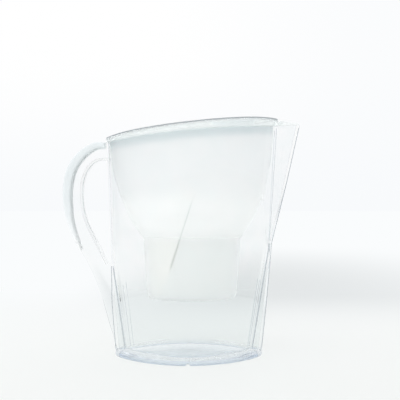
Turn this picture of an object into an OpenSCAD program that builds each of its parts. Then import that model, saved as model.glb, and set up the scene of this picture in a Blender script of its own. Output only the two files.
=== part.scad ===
// Slim water filter pitcher with a flip lid: a clear jug with a prow-shaped spout, a frosted funnel
// that holds an oval filter cartridge, and a lid with a fill flap, a spout flap and a change indicator.
// +X points to the spout, +Z up. The frame's origin is below the middle of the whole pitcher.

/* [Jug] */
// Length of the body at the rim, without the spout
rim_length = 190.4; // [180:0.2:200]
// Depth of the body at the rim
rim_depth = 101.4; // [98:0.2:108]
// Height of the rim above the middle of the body
rim_height = 248.7; // [240:0.5:270]
// Rise of the rim towards the spout
rim_slope = 5.3; // [4:0.1:7]
// Height at which the body's ends turn from steep to tapered
waist_height = 118; // [105:1:130]
// Length of the body at the waist
waist_length = 178; // [172:0.5:184]
// Depth of the body at the waist
waist_depth = 92; // [88:0.5:96]
// Length of the body just above the foot, without its end keels
base_length = 143; // [134:0.5:150]
// Depth of the body just above the foot
base_depth = 79; // [74:0.5:82]
// Thickness of the jug's wall
jug_wall = 2.6; // [2:0.1:3]
// Thickness of the jug's floor
floor_thickness = 3; // [2.5:0.1:5]
// How far the ends of the body come to a point (1 is an ellipse, 2 is a sharp lens)
end_sharpness = 1.7; // [1.5:0.05:1.9]

/* [Foot and keels] */
// Length of the foot
foot_length = 164; // [160:0.5:168]
// Depth of the foot
foot_depth = 84; // [82:0.5:88]
// Height of the foot's band
foot_height = 6; // [5:0.5:8]
// Height of the hollow under the foot
foot_hollow = 4; // [3:0.25:5]
// Width of the ring that the pitcher stands on
foot_ring = 3.6; // [3:0.1:5]
// Reach of each end keel from the body's middle, halfway up the keels
keel_reach = 87.2; // [85:0.2:88]
// Width of a drain notch in the foot's ring
drain_notch = 5; // [3:0.5:8]
// How far the foot's middle sits behind the rim's middle
foot_setback = 3.6; // [0:0.2:6]

/* [Spout] */
// Reach of the spout's tip from the rim's middle
spout_reach = 121.4; // [116:0.2:126]
// Reach of the spout's ridge at half of its height
spout_ridge_reach = 107.4; // [104:0.2:110]
// Height at which the spout's ridge leaves the body
spout_start = 124; // [118:1:134]

/* [Handle] */
// Reach of the handle from the rim's middle
handle_reach = 143.4; // [140:0.2:150]
// Height of the handle's widest point
handle_middle = 184; // [178:1:190]
// Width of the handle bar, from its outside to the finger hole
bar_width = 21.4; // [20:0.2:25]
// Thickness of the handle's web
web_thickness = 5; // [4:0.25:7]
// Thickness of the flange around the finger hole
flange_thickness = 2.4; // [2:0.1:3]
// Depth of the flange around the finger hole, across the handle
flange_depth = 15; // [12:0.5:18]
// Thickness of the grip strip at its thickest
grip_thickness = 9; // [7:0.25:10]
// Depth of the grip strip, across the handle
grip_depth = 19; // [16:0.5:22]

/* [Funnel] */
// Thickness of the funnel's wall
funnel_wall = 2.2; // [1.8:0.1:2.6]
// Thickness of the funnel's rim flange
funnel_flange = 2; // [1.5:0.1:2.5]
// Gap between the funnel and the inside of the jug's rim
funnel_gap = 0.5; // [0.3:0.1:0.8]
// Gap between the funnel's flange and the top of the jug's rim
funnel_seat = 0.05; // [0.03:0.01:0.15]
// Length of the cartridge pocket at its mouth, outside
pocket_length = 107.8; // [104:0.2:110]
// Depth of the cartridge pocket at its mouth, outside
pocket_depth = 69; // [67:0.5:72]
// Height of the seat at the pocket's mouth
seat_height = 138; // [134:1:144]
// Height of the pocket's bottom
pocket_bottom = 66; // [60:1:72]
// Width of the outlet slots in the pocket's bottom
outlet_slot = 3; // [2:0.25:4]

/* [Cartridge] */
// Gap between the cartridge and its pocket
cartridge_gap = 3; // [2:0.25:4]
// Thickness of the cartridge's shell
shell_wall = 1.6; // [1.2:0.1:2]
// Height of the cartridge's dome above its collar
dome_height = 40; // [34:1:44]
// Thickness of the cartridge's collar
collar_thickness = 2.4; // [2:0.1:3.2]
// Width of the inlet slots in the dome
inlet_slot = 2.2; // [1.6:0.1:3]
// Thickness of the two mesh screens
screen_thickness = 0.8; // [0.6:0.1:1.2]
// Radius of the seal's cord
seal_radius = 1.1; // [0.8:0.05:1.2]
// Radius of the pull ring, to the middle of its wire
pull_ring_radius = 10; // [8:0.5:12]
// Radius of the pull ring's wire
pull_wire_radius = 1.3; // [1:0.05:1.6]

/* [Lid] */
// Overhang of the lid outside the jug's rim
lid_overhang = 1.3; // [0.8:0.1:2]
// Height of the lid's edge at the middle
edge_height = 9.4; // [8.5:0.1:11]
// Rise of the lid's edge towards the spout
lid_slope = 6.3; // [5.6:0.1:7]
// Crown of the lid above its edge
lid_crown = 4.4; // [3:0.1:6]
// Thickness of the lid's skin
lid_skin = 2; // [1.6:0.1:2.4]
// Thickness of the lid's skirt
skirt_thickness = 1.8; // [1.4:0.1:2.2]
// Gap under the lid's skirt
skirt_gap = 0.3; // [0.2:0.05:0.6]
// Width of the lid's border around the fill flap
flap_border = 8; // [6:0.5:11]
// Gap around the fill flap
flap_gap = 0.4; // [0.3:0.05:0.6]
// Width of the ledge that the fill flap lies on
ledge_width = 3; // [2:0.25:4]
// Place of the fill flap's hinge, from the rim's middle
hinge_x = -2; // [-6:0.5:2]
// Radius of the fill flap's hinge pins
pin_radius = 1; // [0.8:0.05:1.2]
// Running fit of the hinge pins in their bores, on the radius
pin_fit = 0.06; // [0.04:0.01:0.1]
// Radius of the hinge barrels
barrel_radius = 1.9; // [1.7:0.05:2.2]
// Half width of the fill flap's hinge barrel
barrel_half = 14; // [10:0.5:18]
// Width of a hinge lug
lug_width = 4; // [3:0.25:5]

/* [Spout flap] */
// Height of the spout flap at its root
spout_flap_root = 5.6; // [4.5:0.1:6]
// Height of the spout flap at its tip
spout_flap_tip = 1.2; // [1:0.1:2]
// Gap between the spout flap and the spout's rim
spout_flap_gap = 0.4; // [0.3:0.05:0.8]
// Half width of the spout flap's barrel
spout_barrel_half = 4; // [3:0.25:4.5]

/* [Change indicator] */
// Place of the indicator's middle, from the rim's middle
indicator_x = 46; // [42:0.5:52]
// Length of the indicator's window
indicator_length = 46; // [42:0.5:50]
// Width of the indicator's window
indicator_width = 22; // [20:0.5:26]
// Depth of the indicator's housing
indicator_depth = 8.4; // [8:0.1:10]
// Thickness of the indicator's walls
indicator_wall = 1.2; // [1:0.1:1.5]
// Width of the flange that carries the indicator in the lid
indicator_flange = 2; // [1.5:0.1:2.5]
// Thickness of the window
window_thickness = 1.2; // [1:0.1:1.5]
// Radius of the indicator's button
button_radius = 4.5; // [4:0.1:5.5]
// Travel of the indicator's button
button_travel = 0.8; // [0.5:0.05:1]
// Gap around the indicator's button
button_gap = 0.3; // [0.2:0.05:0.4]
// Thickness of the circuit board
board_thickness = 1; // [0.8:0.1:1.6]
// Radius of the coin cell
cell_radius = 6.2; // [5:0.1:7]
// Thickness of the coin cell
cell_thickness = 2; // [1.6:0.1:2.5]

/* [Hidden] */

$fn = 64;
cut_past = 5;           // how far a cutting solid runs past the face that it cuts
nose_points = 5;        // points on each flank of a keel or of the spout
side_points = 22;       // points on each side between the keels
ring_points = 56;       // points on a ring of the funnel and of the cartridge
spline_steps = 5;       // steps between two points of the handle's outline

frame_x = (handle_reach - spout_reach) / 2;
rise = tan(rim_slope);
lid_rise = tan(lid_slope);

// ---- rings and lofts ----

function mix(a, b, s) = a + (b - a) * s;
function clamp(v) = min(1, max(0, v));
function oval_y(b, t, sharp) = b * sign(sin(t)) * pow(abs(sin(t)), sharp);

// A ring of an oval whose ends are more or less pointed, on a plane that rises towards +X.
function oval_ring(a, b, z, sharp = 1, tilt = 0) = [
    for (i = [0:ring_points - 1]) let (t = 360 * i / ring_points, x = a * cos(t))
        [x, oval_y(b, t, sharp), z + tilt * x]
];

// A solid through rings of the same number of points, from the first to the last.
module loft(rings) {
    n = len(rings[0]);
    last = (len(rings) - 1) * n;
    bottom = [for (i = [1:n - 2]) [0, i, i + 1]];
    top = [for (i = [1:n - 2]) [last, last + i + 1, last + i]];
    sides = [for (k = [0:len(rings) - 2], i = [0:n - 1])
        let (a = k * n + i, b = k * n + (i + 1) % n) each [[a, a + n, b], [b, a + n, b + n]]];
    polyhedron(points = [for (r = rings) each r], faces = concat(bottom, sides, top), convexity = 8);
}

// A prism that stands on a flat outline.
module prism(outline, low, high) {
    translate([0, 0, low]) linear_extrude(high - low) polygon(outline);
}

// A plate in the XZ plane, centred across the pitcher.
module side_plate(thickness) {
    rotate([90, 0, 0]) linear_extrude(thickness, center = true) children();
}

// Catmull-Rom curve through the points, without the first and the last.
function curve_point(p, i, s) = 0.5 * (2 * p[i] + (p[i + 1] - p[i - 1]) * s
    + (2 * p[i - 1] - 5 * p[i] + 4 * p[i + 1] - p[i + 2]) * s * s
    + (3 * p[i] - p[i - 1] - 3 * p[i + 1] + p[i + 2]) * s * s * s);
function curve(p, steps = spline_steps) = concat(
    [for (i = [1:len(p) - 3], k = [0:steps - 1]) curve_point(p, i, k / steps)],
    [p[len(p) - 2]]);

// ---- the jug's form ----

function rim_z(x) = rim_height + rise * x;
// The middle of the body at a level: it leans forward from the foot to the rim.
function middle(level) = -foot_setback * (1 - level / rim_height);
// A level is a height over the body's middle; its ring tilts more the nearer it is to the rim.
function level_z(level, x) = level * (1 + rise * x / rim_height);

function body_half(level) = lookup(level, [
    [foot_height, base_length / 2], [waist_height, waist_length / 2], [rim_height, rim_length / 2]]);
function body_side(level) = lookup(level, [
    [foot_height, base_depth / 2], [waist_height, waist_depth / 2], [rim_height, rim_depth / 2]]);
keel_middle = (foot_height + waist_height) / 2;
rear_reach = [[foot_height, foot_length / 2], [keel_middle, keel_reach],
    [waist_height, waist_length / 2], [rim_height, rim_length / 2]];
spout_middle = (spout_start + rim_height) / 2;
front_reach = [[foot_height, foot_length / 2], [keel_middle, keel_reach],
    [spout_start, waist_length / 2 + 3], [spout_middle, spout_ridge_reach],
    [rim_height, spout_reach]];
keel_angle = 17;        // of the oval, where a keel's flank leaves the body's side
spout_angle = 28;       // the same for the spout
spout_full = 40;        // height over which the keel widens into the spout
keel_blend = 3;         // a keel that stands out less than this rounds off into the oval
end_walls = 1.3;        // thickness of the oval's ends, in walls
function front_angle(level) = mix(keel_angle, spout_angle, clamp((level - spout_start) / spout_full));

// How far in from the tip the inside of a keel lies, for a wall of the given thickness.
function tip_wall(wall, half, side, tip, angle) = let (
    root_x = half * cos(angle), root_y = oval_y(side, angle, end_sharpness),
    flank = norm([tip - root_x, root_y])) wall * flank / max(root_y, 1);

// The point of one end, s = 0 at its tip and 1 where it joins the side.
function end_point(half, side, tip, angle, s) = let (
    t = angle * s, amount = clamp((tip - half) / keel_blend),
    on_oval = [half * cos(t), oval_y(side, t, end_sharpness)],
    on_flank = [mix(tip, half * cos(angle), s), oval_y(side, angle, end_sharpness) * s])
    mix(on_oval, on_flank, amount);

// A ring of the jug at a level, inset by a wall (0 for the outside).
function jug_outline(half, side, front, rear, front_a, inset = 0) = let (
    h = half - end_walls * inset, d = side - inset,
    f = inset == 0 ? front : mix(h, front - tip_wall(inset, half, side, front, front_a),
        clamp((front - half) / keel_blend)),
    r = inset == 0 ? rear : mix(h, rear - tip_wall(inset, half, side, rear, keel_angle),
        clamp((rear - half) / keel_blend)),
    front_end = [for (i = [0:nose_points]) end_point(h, d, f, front_a, i / nose_points)],
    rear_end = [for (i = [nose_points:-1:0]) let (p = end_point(h, d, r, keel_angle, i / nose_points))
        [-p.x, p.y]],
    flank = [for (i = [1:side_points - 1])
        let (t = mix(front_a, 180 - keel_angle, i / side_points))
        [h * cos(t), oval_y(d, t, end_sharpness)]],
    near = concat(front_end, flank, rear_end))
    concat(near, [for (i = [len(near) - 2:-1:1]) [near[i].x, -near[i].y]]);

function jug_ring(level, inset = 0) = [for (p = jug_outline(body_half(level), body_side(level),
    lookup(level, front_reach), lookup(level, rear_reach), front_angle(level), inset))
    [p.x + middle(level), p.y, level_z(level, p.x)]];

// The foot is a band with rounded edges on the same outline.
function foot_ring_at(z, inset) = [for (p = jug_outline(foot_length / 2 - inset, foot_depth / 2 - inset,
    foot_length / 2 - inset, foot_length / 2 - inset, keel_angle)) [p.x + middle(z), p.y, z]];

outer_levels = [foot_height + 5, 32, 58, 84, 104, waist_height, 134, 152, 172, spout_middle, 210, 230,
    rim_height];
floor_top = foot_hollow + floor_thickness;
floor_round = 6;        // height over which the inside rounds into the floor
function floor_ring(size_x, size_y, lift) = [
    for (p = jug_ring(floor_top + floor_round, jug_wall)) [p.x * size_x, p.y * size_y, floor_top + lift]];
module jug_outside() {
    loft(concat(
        [foot_ring_at(0, 3), foot_ring_at(1.2, 1), foot_ring_at(3, 0), foot_ring_at(foot_height, 0.4)],
        [for (level = outer_levels) jug_ring(level)]));
}
module jug_inside() {
    loft(concat(
        [floor_ring(0.95, 0.93, 0), floor_ring(0.985, 0.98, floor_round * 0.3),
         floor_ring(1, 1, floor_round)],
        [for (level = outer_levels) if (level > floor_top + floor_round && level < rim_height)
            jug_ring(level, jug_wall)],
        [for (lift = [0.1 * cut_past, cut_past])
            [for (p = jug_ring(rim_height, jug_wall)) [p.x, p.y, p.z + lift]]]));
}

// ---- the handle's outline ----

foot_rear = -foot_length / 2 - foot_setback;
handle_top = [-rim_length / 2 + 3, rim_z(-rim_length / 2) - 0.6];
handle_end = [foot_rear + 1.6, foot_height + 4.3];
hole_edge = -handle_reach + bar_width;
hole_root = -waist_length / 2 + 3;
hole_rise = 35.8;       // height of the finger hole above the handle's widest point
hole_fall = 92;         // and below it

// Points between two places: each has its share of the way along X and along Z.
function between(a, b, shares) = [for (s = shares) [mix(a.x, b.x, s.x), mix(a.y, b.y, s.y)]];
outer_points = concat(
    between([-handle_reach, handle_middle], handle_top,
        [[1.4, 0.98], [1, 1], [0.66, 1], [0.33, 0.81], [0.085, 0.47], [0, 0]]),
    between([-handle_reach, handle_middle], handle_end,
        [[0.06, 0.155], [0.27, 0.335], [0.53, 0.505], [0.7, 0.652], [0.86, 0.84], [1, 1],
         [1.03, 1.15]]));
hole_points = concat(
    between([hole_edge, handle_middle], [hole_root, handle_middle + hole_rise],
        [[1.114, 0.985], [0.83, 1.01], [0.46, 0.98], [0.2, 0.76], [0.04, 0.4], [0, 0]]),
    between([hole_edge, handle_middle], [hole_root, handle_middle - hole_fall],
        [[0.035, 0.18], [0.13, 0.33], [0.33, 0.51], [0.57, 0.69], [0.79, 0.86], [1, 1]]));
outer_curve = curve(outer_points);
hole_curve = curve(hole_points);

function tangent(c, i) = let (d = c[min(i + 1, len(c) - 1)] - c[max(i - 1, 0)]) d / norm(d);
// The left side of a curve that runs down round the handle is its inside.
function inward(c, i, distance) = let (t = tangent(c, i)) c[i] + distance * [-t.y, t.x];

grip_first = 2;
grip_last = 31;
grip_least = 0.42;      // thickness at the grip's ends, as a share of its thickest
grip_fade = 0.75;       // share of the grip's length after which it thins out
grip_thin = 0.35;       // and how much of its thickness is left at its lower end
function grip_amount(i) = let (s = (i - grip_first) / (grip_last - grip_first))
    grip_thickness * mix(grip_least, 1, pow(sin(180 * clamp(mix(0.08, 1, s))), 0.7))
    * mix(1, grip_thin, clamp((s - grip_fade) / (1 - grip_fade)));
grip_inner = [for (i = [grip_first:grip_last]) inward(outer_curve, i, grip_amount(i))];
grip_outline = concat([for (i = [grip_first:grip_last]) outer_curve[i]],
    [for (i = [len(grip_inner) - 1:-1:0]) grip_inner[i]]);
// The web's outside: the outer curve, set back by the grip where the grip lies on it.
web_outside = concat([for (i = [0:grip_first - 1]) outer_curve[i]], grip_inner,
    [for (i = [grip_last + 1:len(outer_curve) - 1]) outer_curve[i]]);

module handle_solid() {
    web_root = -waist_length / 2 + 29;
    body_line = [[-foot_length / 2 + 12, foot_height - 0.9], [web_root, foot_height + 14],
        [web_root, rim_z(web_root) - 7]];
    side_plate(web_thickness) difference() {
        polygon(concat(web_outside, body_line));
        polygon(concat(hole_curve, [[web_root - 12, hole_curve[len(hole_curve) - 1].y],
            [web_root - 12, hole_curve[0].y]]));
    }
    side_plate(flange_depth) polygon(concat(
        [for (i = [0:len(hole_curve) - 1]) hole_curve[i]],
        [for (i = [len(hole_curve) - 1:-1:0]) inward(hole_curve, i, -flange_thickness)]));
}

// ---- the funnel's form ----

rim_inside = [rim_length / 2 - end_walls * jug_wall, rim_depth / 2 - jug_wall];
neck = rim_inside - [funnel_gap + 0.3, funnel_gap];
flange_half = [rim_length / 2, rim_depth / 2] - [1.2, 1.2];
flange_low = rim_height + funnel_seat;
pocket = [pocket_length / 2, pocket_depth / 2];
pocket_sharpness = 0.92;        // the pocket and the cartridge are a little squarer than an ellipse
bowl_height = rim_height - seat_height;

// Stations of the bowl: share of the bowl's height, and how far the oval has grown from pocket to neck.
bowl_stations = [[0.03, 0.08], [0.08, 0.2], [0.2, 0.42], [0.36, 0.63], [0.5, 0.765], [0.62, 0.86],
    [0.75, 0.935], [0.88, 0.978], [0.985, 1]];
function bowl_ring(station, inset) = let (
    s = station[1], half = mix(pocket + [2.6, 2.6], neck, s) - [inset * 1.15, inset])
    oval_ring(half.x, half.y, seat_height + station[0] * bowl_height,
        mix(pocket_sharpness, end_sharpness, s), rise * station[0] * station[0]);
function pocket_ring(z, inset) = oval_ring(pocket.x - inset, pocket.y - inset, z, pocket_sharpness);
pocket_draft = 4.4;     // how much narrower the pocket is at its bottom, on the half width
module funnel_outside() {
    loft(concat(
        [pocket_ring(pocket_bottom, pocket_draft + 5), pocket_ring(pocket_bottom + 1.5, pocket_draft + 2),
         pocket_ring(pocket_bottom + 5, pocket_draft), pocket_ring(seat_height - 4, 0),
         pocket_ring(seat_height - funnel_wall, -2.4)],
        [for (s = bowl_stations) bowl_ring(s, 0)],
        [oval_ring(neck.x, neck.y, flange_low, end_sharpness, rise),
         oval_ring(flange_half.x, flange_half.y, flange_low, end_sharpness, rise),
         oval_ring(flange_half.x, flange_half.y, flange_low + funnel_flange, end_sharpness, rise)]));
}
module funnel_inside() {
    w = funnel_wall;
    loft(concat(
        [pocket_ring(pocket_bottom + w, pocket_draft + 5.4),
         pocket_ring(pocket_bottom + w + 4, pocket_draft + w),
         pocket_ring(seat_height, w), pocket_ring(seat_height, -0.4)],
        [for (s = bowl_stations) bowl_ring(s, w)],
        [oval_ring(neck.x - w * 1.15, neck.y - w, flange_low + funnel_flange + 1, end_sharpness, rise)]));
}

// ---- the cartridge's form ----

cart_top = pocket - [funnel_wall + cartridge_gap, funnel_wall + cartridge_gap];
cart_bottom = pocket_bottom + funnel_wall + cartridge_gap;
collar_z = seat_height + 0.3;
collar_half = pocket - [0.4, 0.4];
function cart_ring(z, inset) = oval_ring(cart_top.x - inset, cart_top.y - inset, z, pocket_sharpness);
// The inside of the shell narrows evenly from its top to its bottom.
inside_low = cart_bottom + shell_wall + 2;
inside_high = collar_z + collar_thickness + 1;
function inside_inset(z) = shell_wall + pocket_draft * (inside_high - z) / (inside_high - inside_low);
screen_gap = 0.1;       // around and above the screens
media_gap = 0.3;        // around the filter media
inlet_screen_low = collar_z + collar_thickness - 1.2 - screen_thickness;
outlet_screen_low = inside_low + 0.2;
// The dome's form: share of its height, and its size against its foot.
dome_profile = [[0, 1], [0.25, 0.985], [0.5, 0.92], [0.72, 0.8], [0.88, 0.62], [0.97, 0.42], [1, 0.3]];
dome_inside = 0.98;     // height of the dome's inside, as a share of its outside
dome_low = collar_z + collar_thickness;
function dome_ring(share, size, inset = 0) = oval_ring(cart_top.x * size - inset,
    cart_top.y * size - inset, dome_low + share * dome_height, mix(pocket_sharpness, 1, share));
dome_top = dome_low + dome_height;
pull_x = -pull_ring_radius / 2;
pull_axis_z = dome_top + pull_wire_radius + 0.3;
pull_lug_gap = 0.5;
pull_lug_width = 2;
pull_lug_wall = 1.1;    // of a lug round the ring's bar
pull_lug_sink = 3.4;    // depth of a lug's foot under the dome's top
inlet_pitch = 3.2 * inlet_slot;
inlet_place = 0.42;     // height of the inlet slots' middle and their length, as shares of the dome's
inlet_share = 0.28;
drip_slot = 3;          // of the shell's bottom slots
drip_pitch = 7;
drip_length = 0.4 * pocket_depth;

// ---- the lid's form ----

lid_half = [rim_length / 2 + lid_overhang, rim_depth / 2 + lid_overhang];
edge_crown = 1.8;       // how much the lid's edge bows up between its two ends
function edge_z(x) = rim_height + edge_height - edge_crown + lid_rise * x
    + edge_crown * (1 - pow(x / lid_half.x, 2));
function lid_z(x, y) = let (s2 = min(1, pow(x / lid_half.x, 2) + pow(y / lid_half.y, 2)))
    edge_z(x) + lid_crown * (1 - s2);
function lid_ring(inset, drop) = [for (p = oval_ring(lid_half.x - inset, lid_half.y - inset, 0,
    end_sharpness)) [p.x, p.y, lid_z(p.x, p.y) - drop]];
function crown_ring(size, inset, drop) = [for (p = oval_ring((lid_half.x - inset) * size,
    (lid_half.y - inset) * size, 0, end_sharpness)) [p.x, p.y, lid_z(p.x, p.y) - drop]];
function skirt_ring(inset, lift) = [for (p = oval_ring(lid_half.x - inset, lid_half.y - inset, 0,
    end_sharpness)) [p.x, p.y, rim_z(p.x) + lift]];
crown_sizes = [0.86, 0.7, 0.52, 0.34, 0.16, 0.03];
// The lid as a solid whose top lies a drop below the lid's skin and whose side is set in.
module lid_solid(inset, drop, lift) {
    loft(concat([skirt_ring(inset, lift), lid_ring(inset, drop + 2.2), lid_ring(inset + 0.5, drop + 0.7),
        lid_ring(inset + 1.8, drop)], [for (s = crown_sizes) crown_ring(s, inset, drop)]));
}

// The fill flap's outline: the rear part of the lid's oval, up to its hinge.
function flap_outline(grow) = let (h = lid_half - [flap_border, flap_border] + [grow, grow])
    [for (p = oval_ring(h.x, h.y, 0, end_sharpness)) [min(p.x, hinge_x + grow), p.y]];
hinge_z = lid_z(hinge_x, 0) - barrel_radius;
hinge_hollow = barrel_radius + flap_gap;
swing_room = hinge_hollow + 0.3;        // free length in front of the hinge, for the flap's turned edge
hinge_reach = lid_half.y - flap_border;
ledge_thickness = 1.6;
lug_drop = 0.3;         // how far the lugs stay below the skin's top
indicator_gap = 0.3;    // around the indicator, in the lid
lid_low = rim_height - 40;
lid_high = rim_height + 60;

module across(x, z, radius, from, to) {
    translate([x, from, z]) rotate([-90, 0, 0]) cylinder(r = radius, h = to - from);
}

// ---- the spout flap's form ----

flap_root_x = lid_half.x + 0.7 + barrel_radius;
flap_hinge_z = rim_z(flap_root_x) + spout_flap_gap + barrel_radius + 1;
spout_tip_x = spout_reach - 1;
spout_lug_width = lug_width / 2;
spout_flap_half = spout_barrel_half + flap_gap + spout_lug_width;

// ---- the indicator's frame ----

// Its tilt is the slope of the crowned lid where it sits.
indicator_tilt = atan(lid_rise - 2 * (edge_crown + lid_crown) * indicator_x / pow(lid_half.x, 2));
module on_lid() {
    translate([indicator_x, 0, lid_z(indicator_x, 0)]) rotate([0, -indicator_tilt, 0]) children();
}
module stadium(length, width) {
    square([length - width, width], center = true);
    for (side = [-1, 1]) translate([side * (length - width) / 2, 0]) circle(d = width);
}
module slab(length, width, low, high) {
    translate([0, 0, low]) linear_extrude(high - low) stadium(length, width);
}
indicator_proud = 0.6;  // how far the indicator stands out of the lid
fit_gap = 0.1;          // around the pieces inside the indicator
window_low = indicator_proud - window_thickness;
button_x = indicator_length / 2 - indicator_width / 2 - 1;
button_step = 1;        // width and height of the button's flange
inner_length = indicator_length - 2 * indicator_wall;
inner_width = indicator_width - 2 * indicator_wall;
display_thickness = 1.4;
display_length = 22;
display_x = -6;
button_low = window_low - 0.4 - button_step;
snap_height = 0.7;      // of the spring dome under the button
snap_radius = 3;
snap_crown = 1.4;       // radius of the dome's top
board_top = button_low - button_travel - 0.1 - snap_height;
board_low = board_top - board_thickness;
cell_x = -8;
cell_low = board_low - cell_thickness;
contact_thickness = 0.3;
cover_thickness = 1.2;

// ---- the pieces ----

module jug_body() {
    color([0.9, 0.94, 0.96, 0.35]) translate([frame_x, 0, 0]) difference() {
        union() {
            jug_outside();
            handle_solid();
        }
        jug_inside();
        loft([foot_ring_at(-1, 3 + foot_ring), foot_ring_at(foot_hollow, 3 + foot_ring)]);
        across(middle(0), 0, drain_notch / 2, -foot_depth, foot_depth);
    }
}

module handle_grip() {
    color([0.82, 0.85, 0.86]) translate([frame_x, 0, 0])
        side_plate(grip_depth) polygon(grip_outline);
}

module funnel() {
    color([0.95, 0.96, 0.97, 0.8]) translate([frame_x, 0, 0]) difference() {
        funnel_outside();
        funnel_inside();
        for (i = [-5:5]) translate([i * 2.2 * outlet_slot, 0, pocket_bottom])
            cube([outlet_slot, pocket_depth * 0.5, 4 * funnel_wall], center = true);
    }
}

module cartridge_shell() {
    color([0.93, 0.93, 0.88]) translate([frame_x, 0, 0]) difference() {
        loft([cart_ring(cart_bottom, pocket_draft + 3), cart_ring(cart_bottom + 2.5, pocket_draft),
            cart_ring(collar_z, 0), oval_ring(collar_half.x, collar_half.y, collar_z, pocket_sharpness),
            oval_ring(collar_half.x, collar_half.y, collar_z + collar_thickness, pocket_sharpness)]);
        loft([cart_ring(cart_bottom + shell_wall, pocket_draft + 3.4),
            cart_ring(inside_low, inside_inset(inside_low)), cart_ring(inside_high, shell_wall)]);
        for (i = [-4:4]) translate([i * drip_pitch, 0, cart_bottom])
            cube([drip_slot, drip_length, 4 * shell_wall], center = true);
    }
}

module cartridge_cap() {
    color([0.9, 0.92, 0.88]) translate([frame_x, 0, 0]) difference() {
        union() {
            loft([for (r = dome_profile) dome_ring(r[0], r[1])]);
            for (side = [-1, 1]) pull_lug(side);
        }
        loft(concat([dome_ring(-0.05, 1, shell_wall)], [for (r = dome_profile) if (r[0] > 0 && r[0] < 1)
            dome_ring(dome_inside * r[0], r[1], shell_wall)]));
        for (i = [-5:5]) translate([i * inlet_pitch, 0, dome_low + inlet_place * dome_height])
            cube([inlet_slot, 2 * pocket_depth, inlet_share * dome_height], center = true);
        across(pull_x, pull_axis_z, pull_wire_radius + pin_fit,
            -2 * pull_ring_radius, 2 * pull_ring_radius);
    }
}

// A lug that holds one end of the pull ring's bar; its foot runs into the dome's wall.
module pull_lug(side) {
    near = pull_ring_radius + pull_wire_radius + pull_lug_gap;
    radius = pull_wire_radius + pull_lug_wall;
    foot = dome_top - pull_lug_sink;
    translate([pull_x, side > 0 ? near : -near - pull_lug_width, 0]) {
        across(0, pull_axis_z, radius, 0, pull_lug_width);
        translate([-radius, 0, foot]) cube([2 * radius, pull_lug_width, pull_axis_z - foot]);
    }
}

module cartridge_seal() {
    inside = cart_top + [0.2, 0.2];
    middle_z = collar_z - 0.1 - seal_radius;
    color([0.75, 0.8, 0.8]) translate([frame_x, 0, 0]) difference() {
        loft([for (a = [-90:30:90]) let (out = seal_radius * (1 + cos(a)))
            oval_ring(inside.x + out, inside.y + out, middle_z + seal_radius * sin(a), pocket_sharpness)]);
        loft([for (side = [-1, 1])
            oval_ring(inside.x, inside.y, middle_z + side * 2 * seal_radius, pocket_sharpness)]);
    }
}

module pull_ring() {
    bar_half = pull_ring_radius + pull_wire_radius + pull_lug_gap + pull_lug_width;
    color([0.88, 0.9, 0.9]) translate([frame_x + pull_x, 0, pull_axis_z]) {
        rotate([0, 0, -90]) rotate_extrude(angle = 180)
            translate([pull_ring_radius, 0]) circle(r = pull_wire_radius);
        across(0, 0, pull_wire_radius, -bar_half, bar_half);
    }
}

// A plate or filling that follows the inside of the shell between two heights.
module shell_filling(low, high, gap) {
    translate([frame_x, 0, 0])
        loft([for (z = [low, high]) cart_ring(z, inside_inset(z) + gap)]);
}

module inlet_screen() {
    color([0.7, 0.74, 0.72])
        shell_filling(inlet_screen_low, inlet_screen_low + screen_thickness, screen_gap);
}

module outlet_screen() {
    color([0.7, 0.74, 0.72])
        shell_filling(outlet_screen_low, outlet_screen_low + screen_thickness, screen_gap);
}

module filter_media() {
    color([0.5, 0.52, 0.48])
        shell_filling(outlet_screen_low + screen_thickness, inlet_screen_low, media_gap);
}

module lid_frame() {
    color([0.93, 0.95, 0.95, 0.85]) translate([frame_x, 0, 0]) {
        difference() {
            union() {
                difference() {
                    lid_solid(0, 0, skirt_gap);
                    lid_solid(skirt_thickness, lid_skin, -cut_past);
                }
                flap_ledge();
            }
            difference() {
                prism(flap_outline(0), lid_low, lid_high);
                lid_solid(skirt_thickness, lid_skin + flap_gap, -cut_past);
            }
            prism(flap_outline(-ledge_width), lid_low, lid_high);
            across(hinge_x, hinge_z, hinge_hollow, -hinge_reach, hinge_reach);
            translate([hinge_x, -hinge_reach, hinge_z])
                cube([swing_room, 2 * hinge_reach, 4 * barrel_radius]);
            on_lid() slab(indicator_length + 2 * indicator_gap, indicator_width + 2 * indicator_gap,
                -2 * indicator_depth, indicator_depth);
        }
        for (side = [-1, 1]) {
            flap_lug(side);
            spout_lug(side);
        }
    }
}

// The ledge under the edge of the fill flap, hung from the lid's skin.
module flap_ledge() {
    difference() {
        intersection() {
            lid_solid(skirt_thickness / 2, lid_skin / 2, funnel_flange + 1);
            prism(flap_outline(ledge_width), lid_low, lid_high);
        }
        lid_solid(skirt_thickness, lid_skin + flap_gap + ledge_thickness, -cut_past);
    }
}

// A lug of the fill flap's hinge, under the lid's skin.
module flap_lug(side) {
    near = barrel_half + flap_gap;
    difference() {
        translate([0, side > 0 ? near : -near - lug_width, 0]) {
            across(hinge_x, hinge_z, barrel_radius - lug_drop, 0, lug_width);
            translate([hinge_x, 0, hinge_z - barrel_radius + lug_drop])
                cube([hinge_hollow + 2, lug_width, 2 * (barrel_radius - lug_drop)]);
        }
        across(hinge_x, hinge_z, pin_radius + pin_fit, -hinge_reach, hinge_reach);
    }
}

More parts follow.
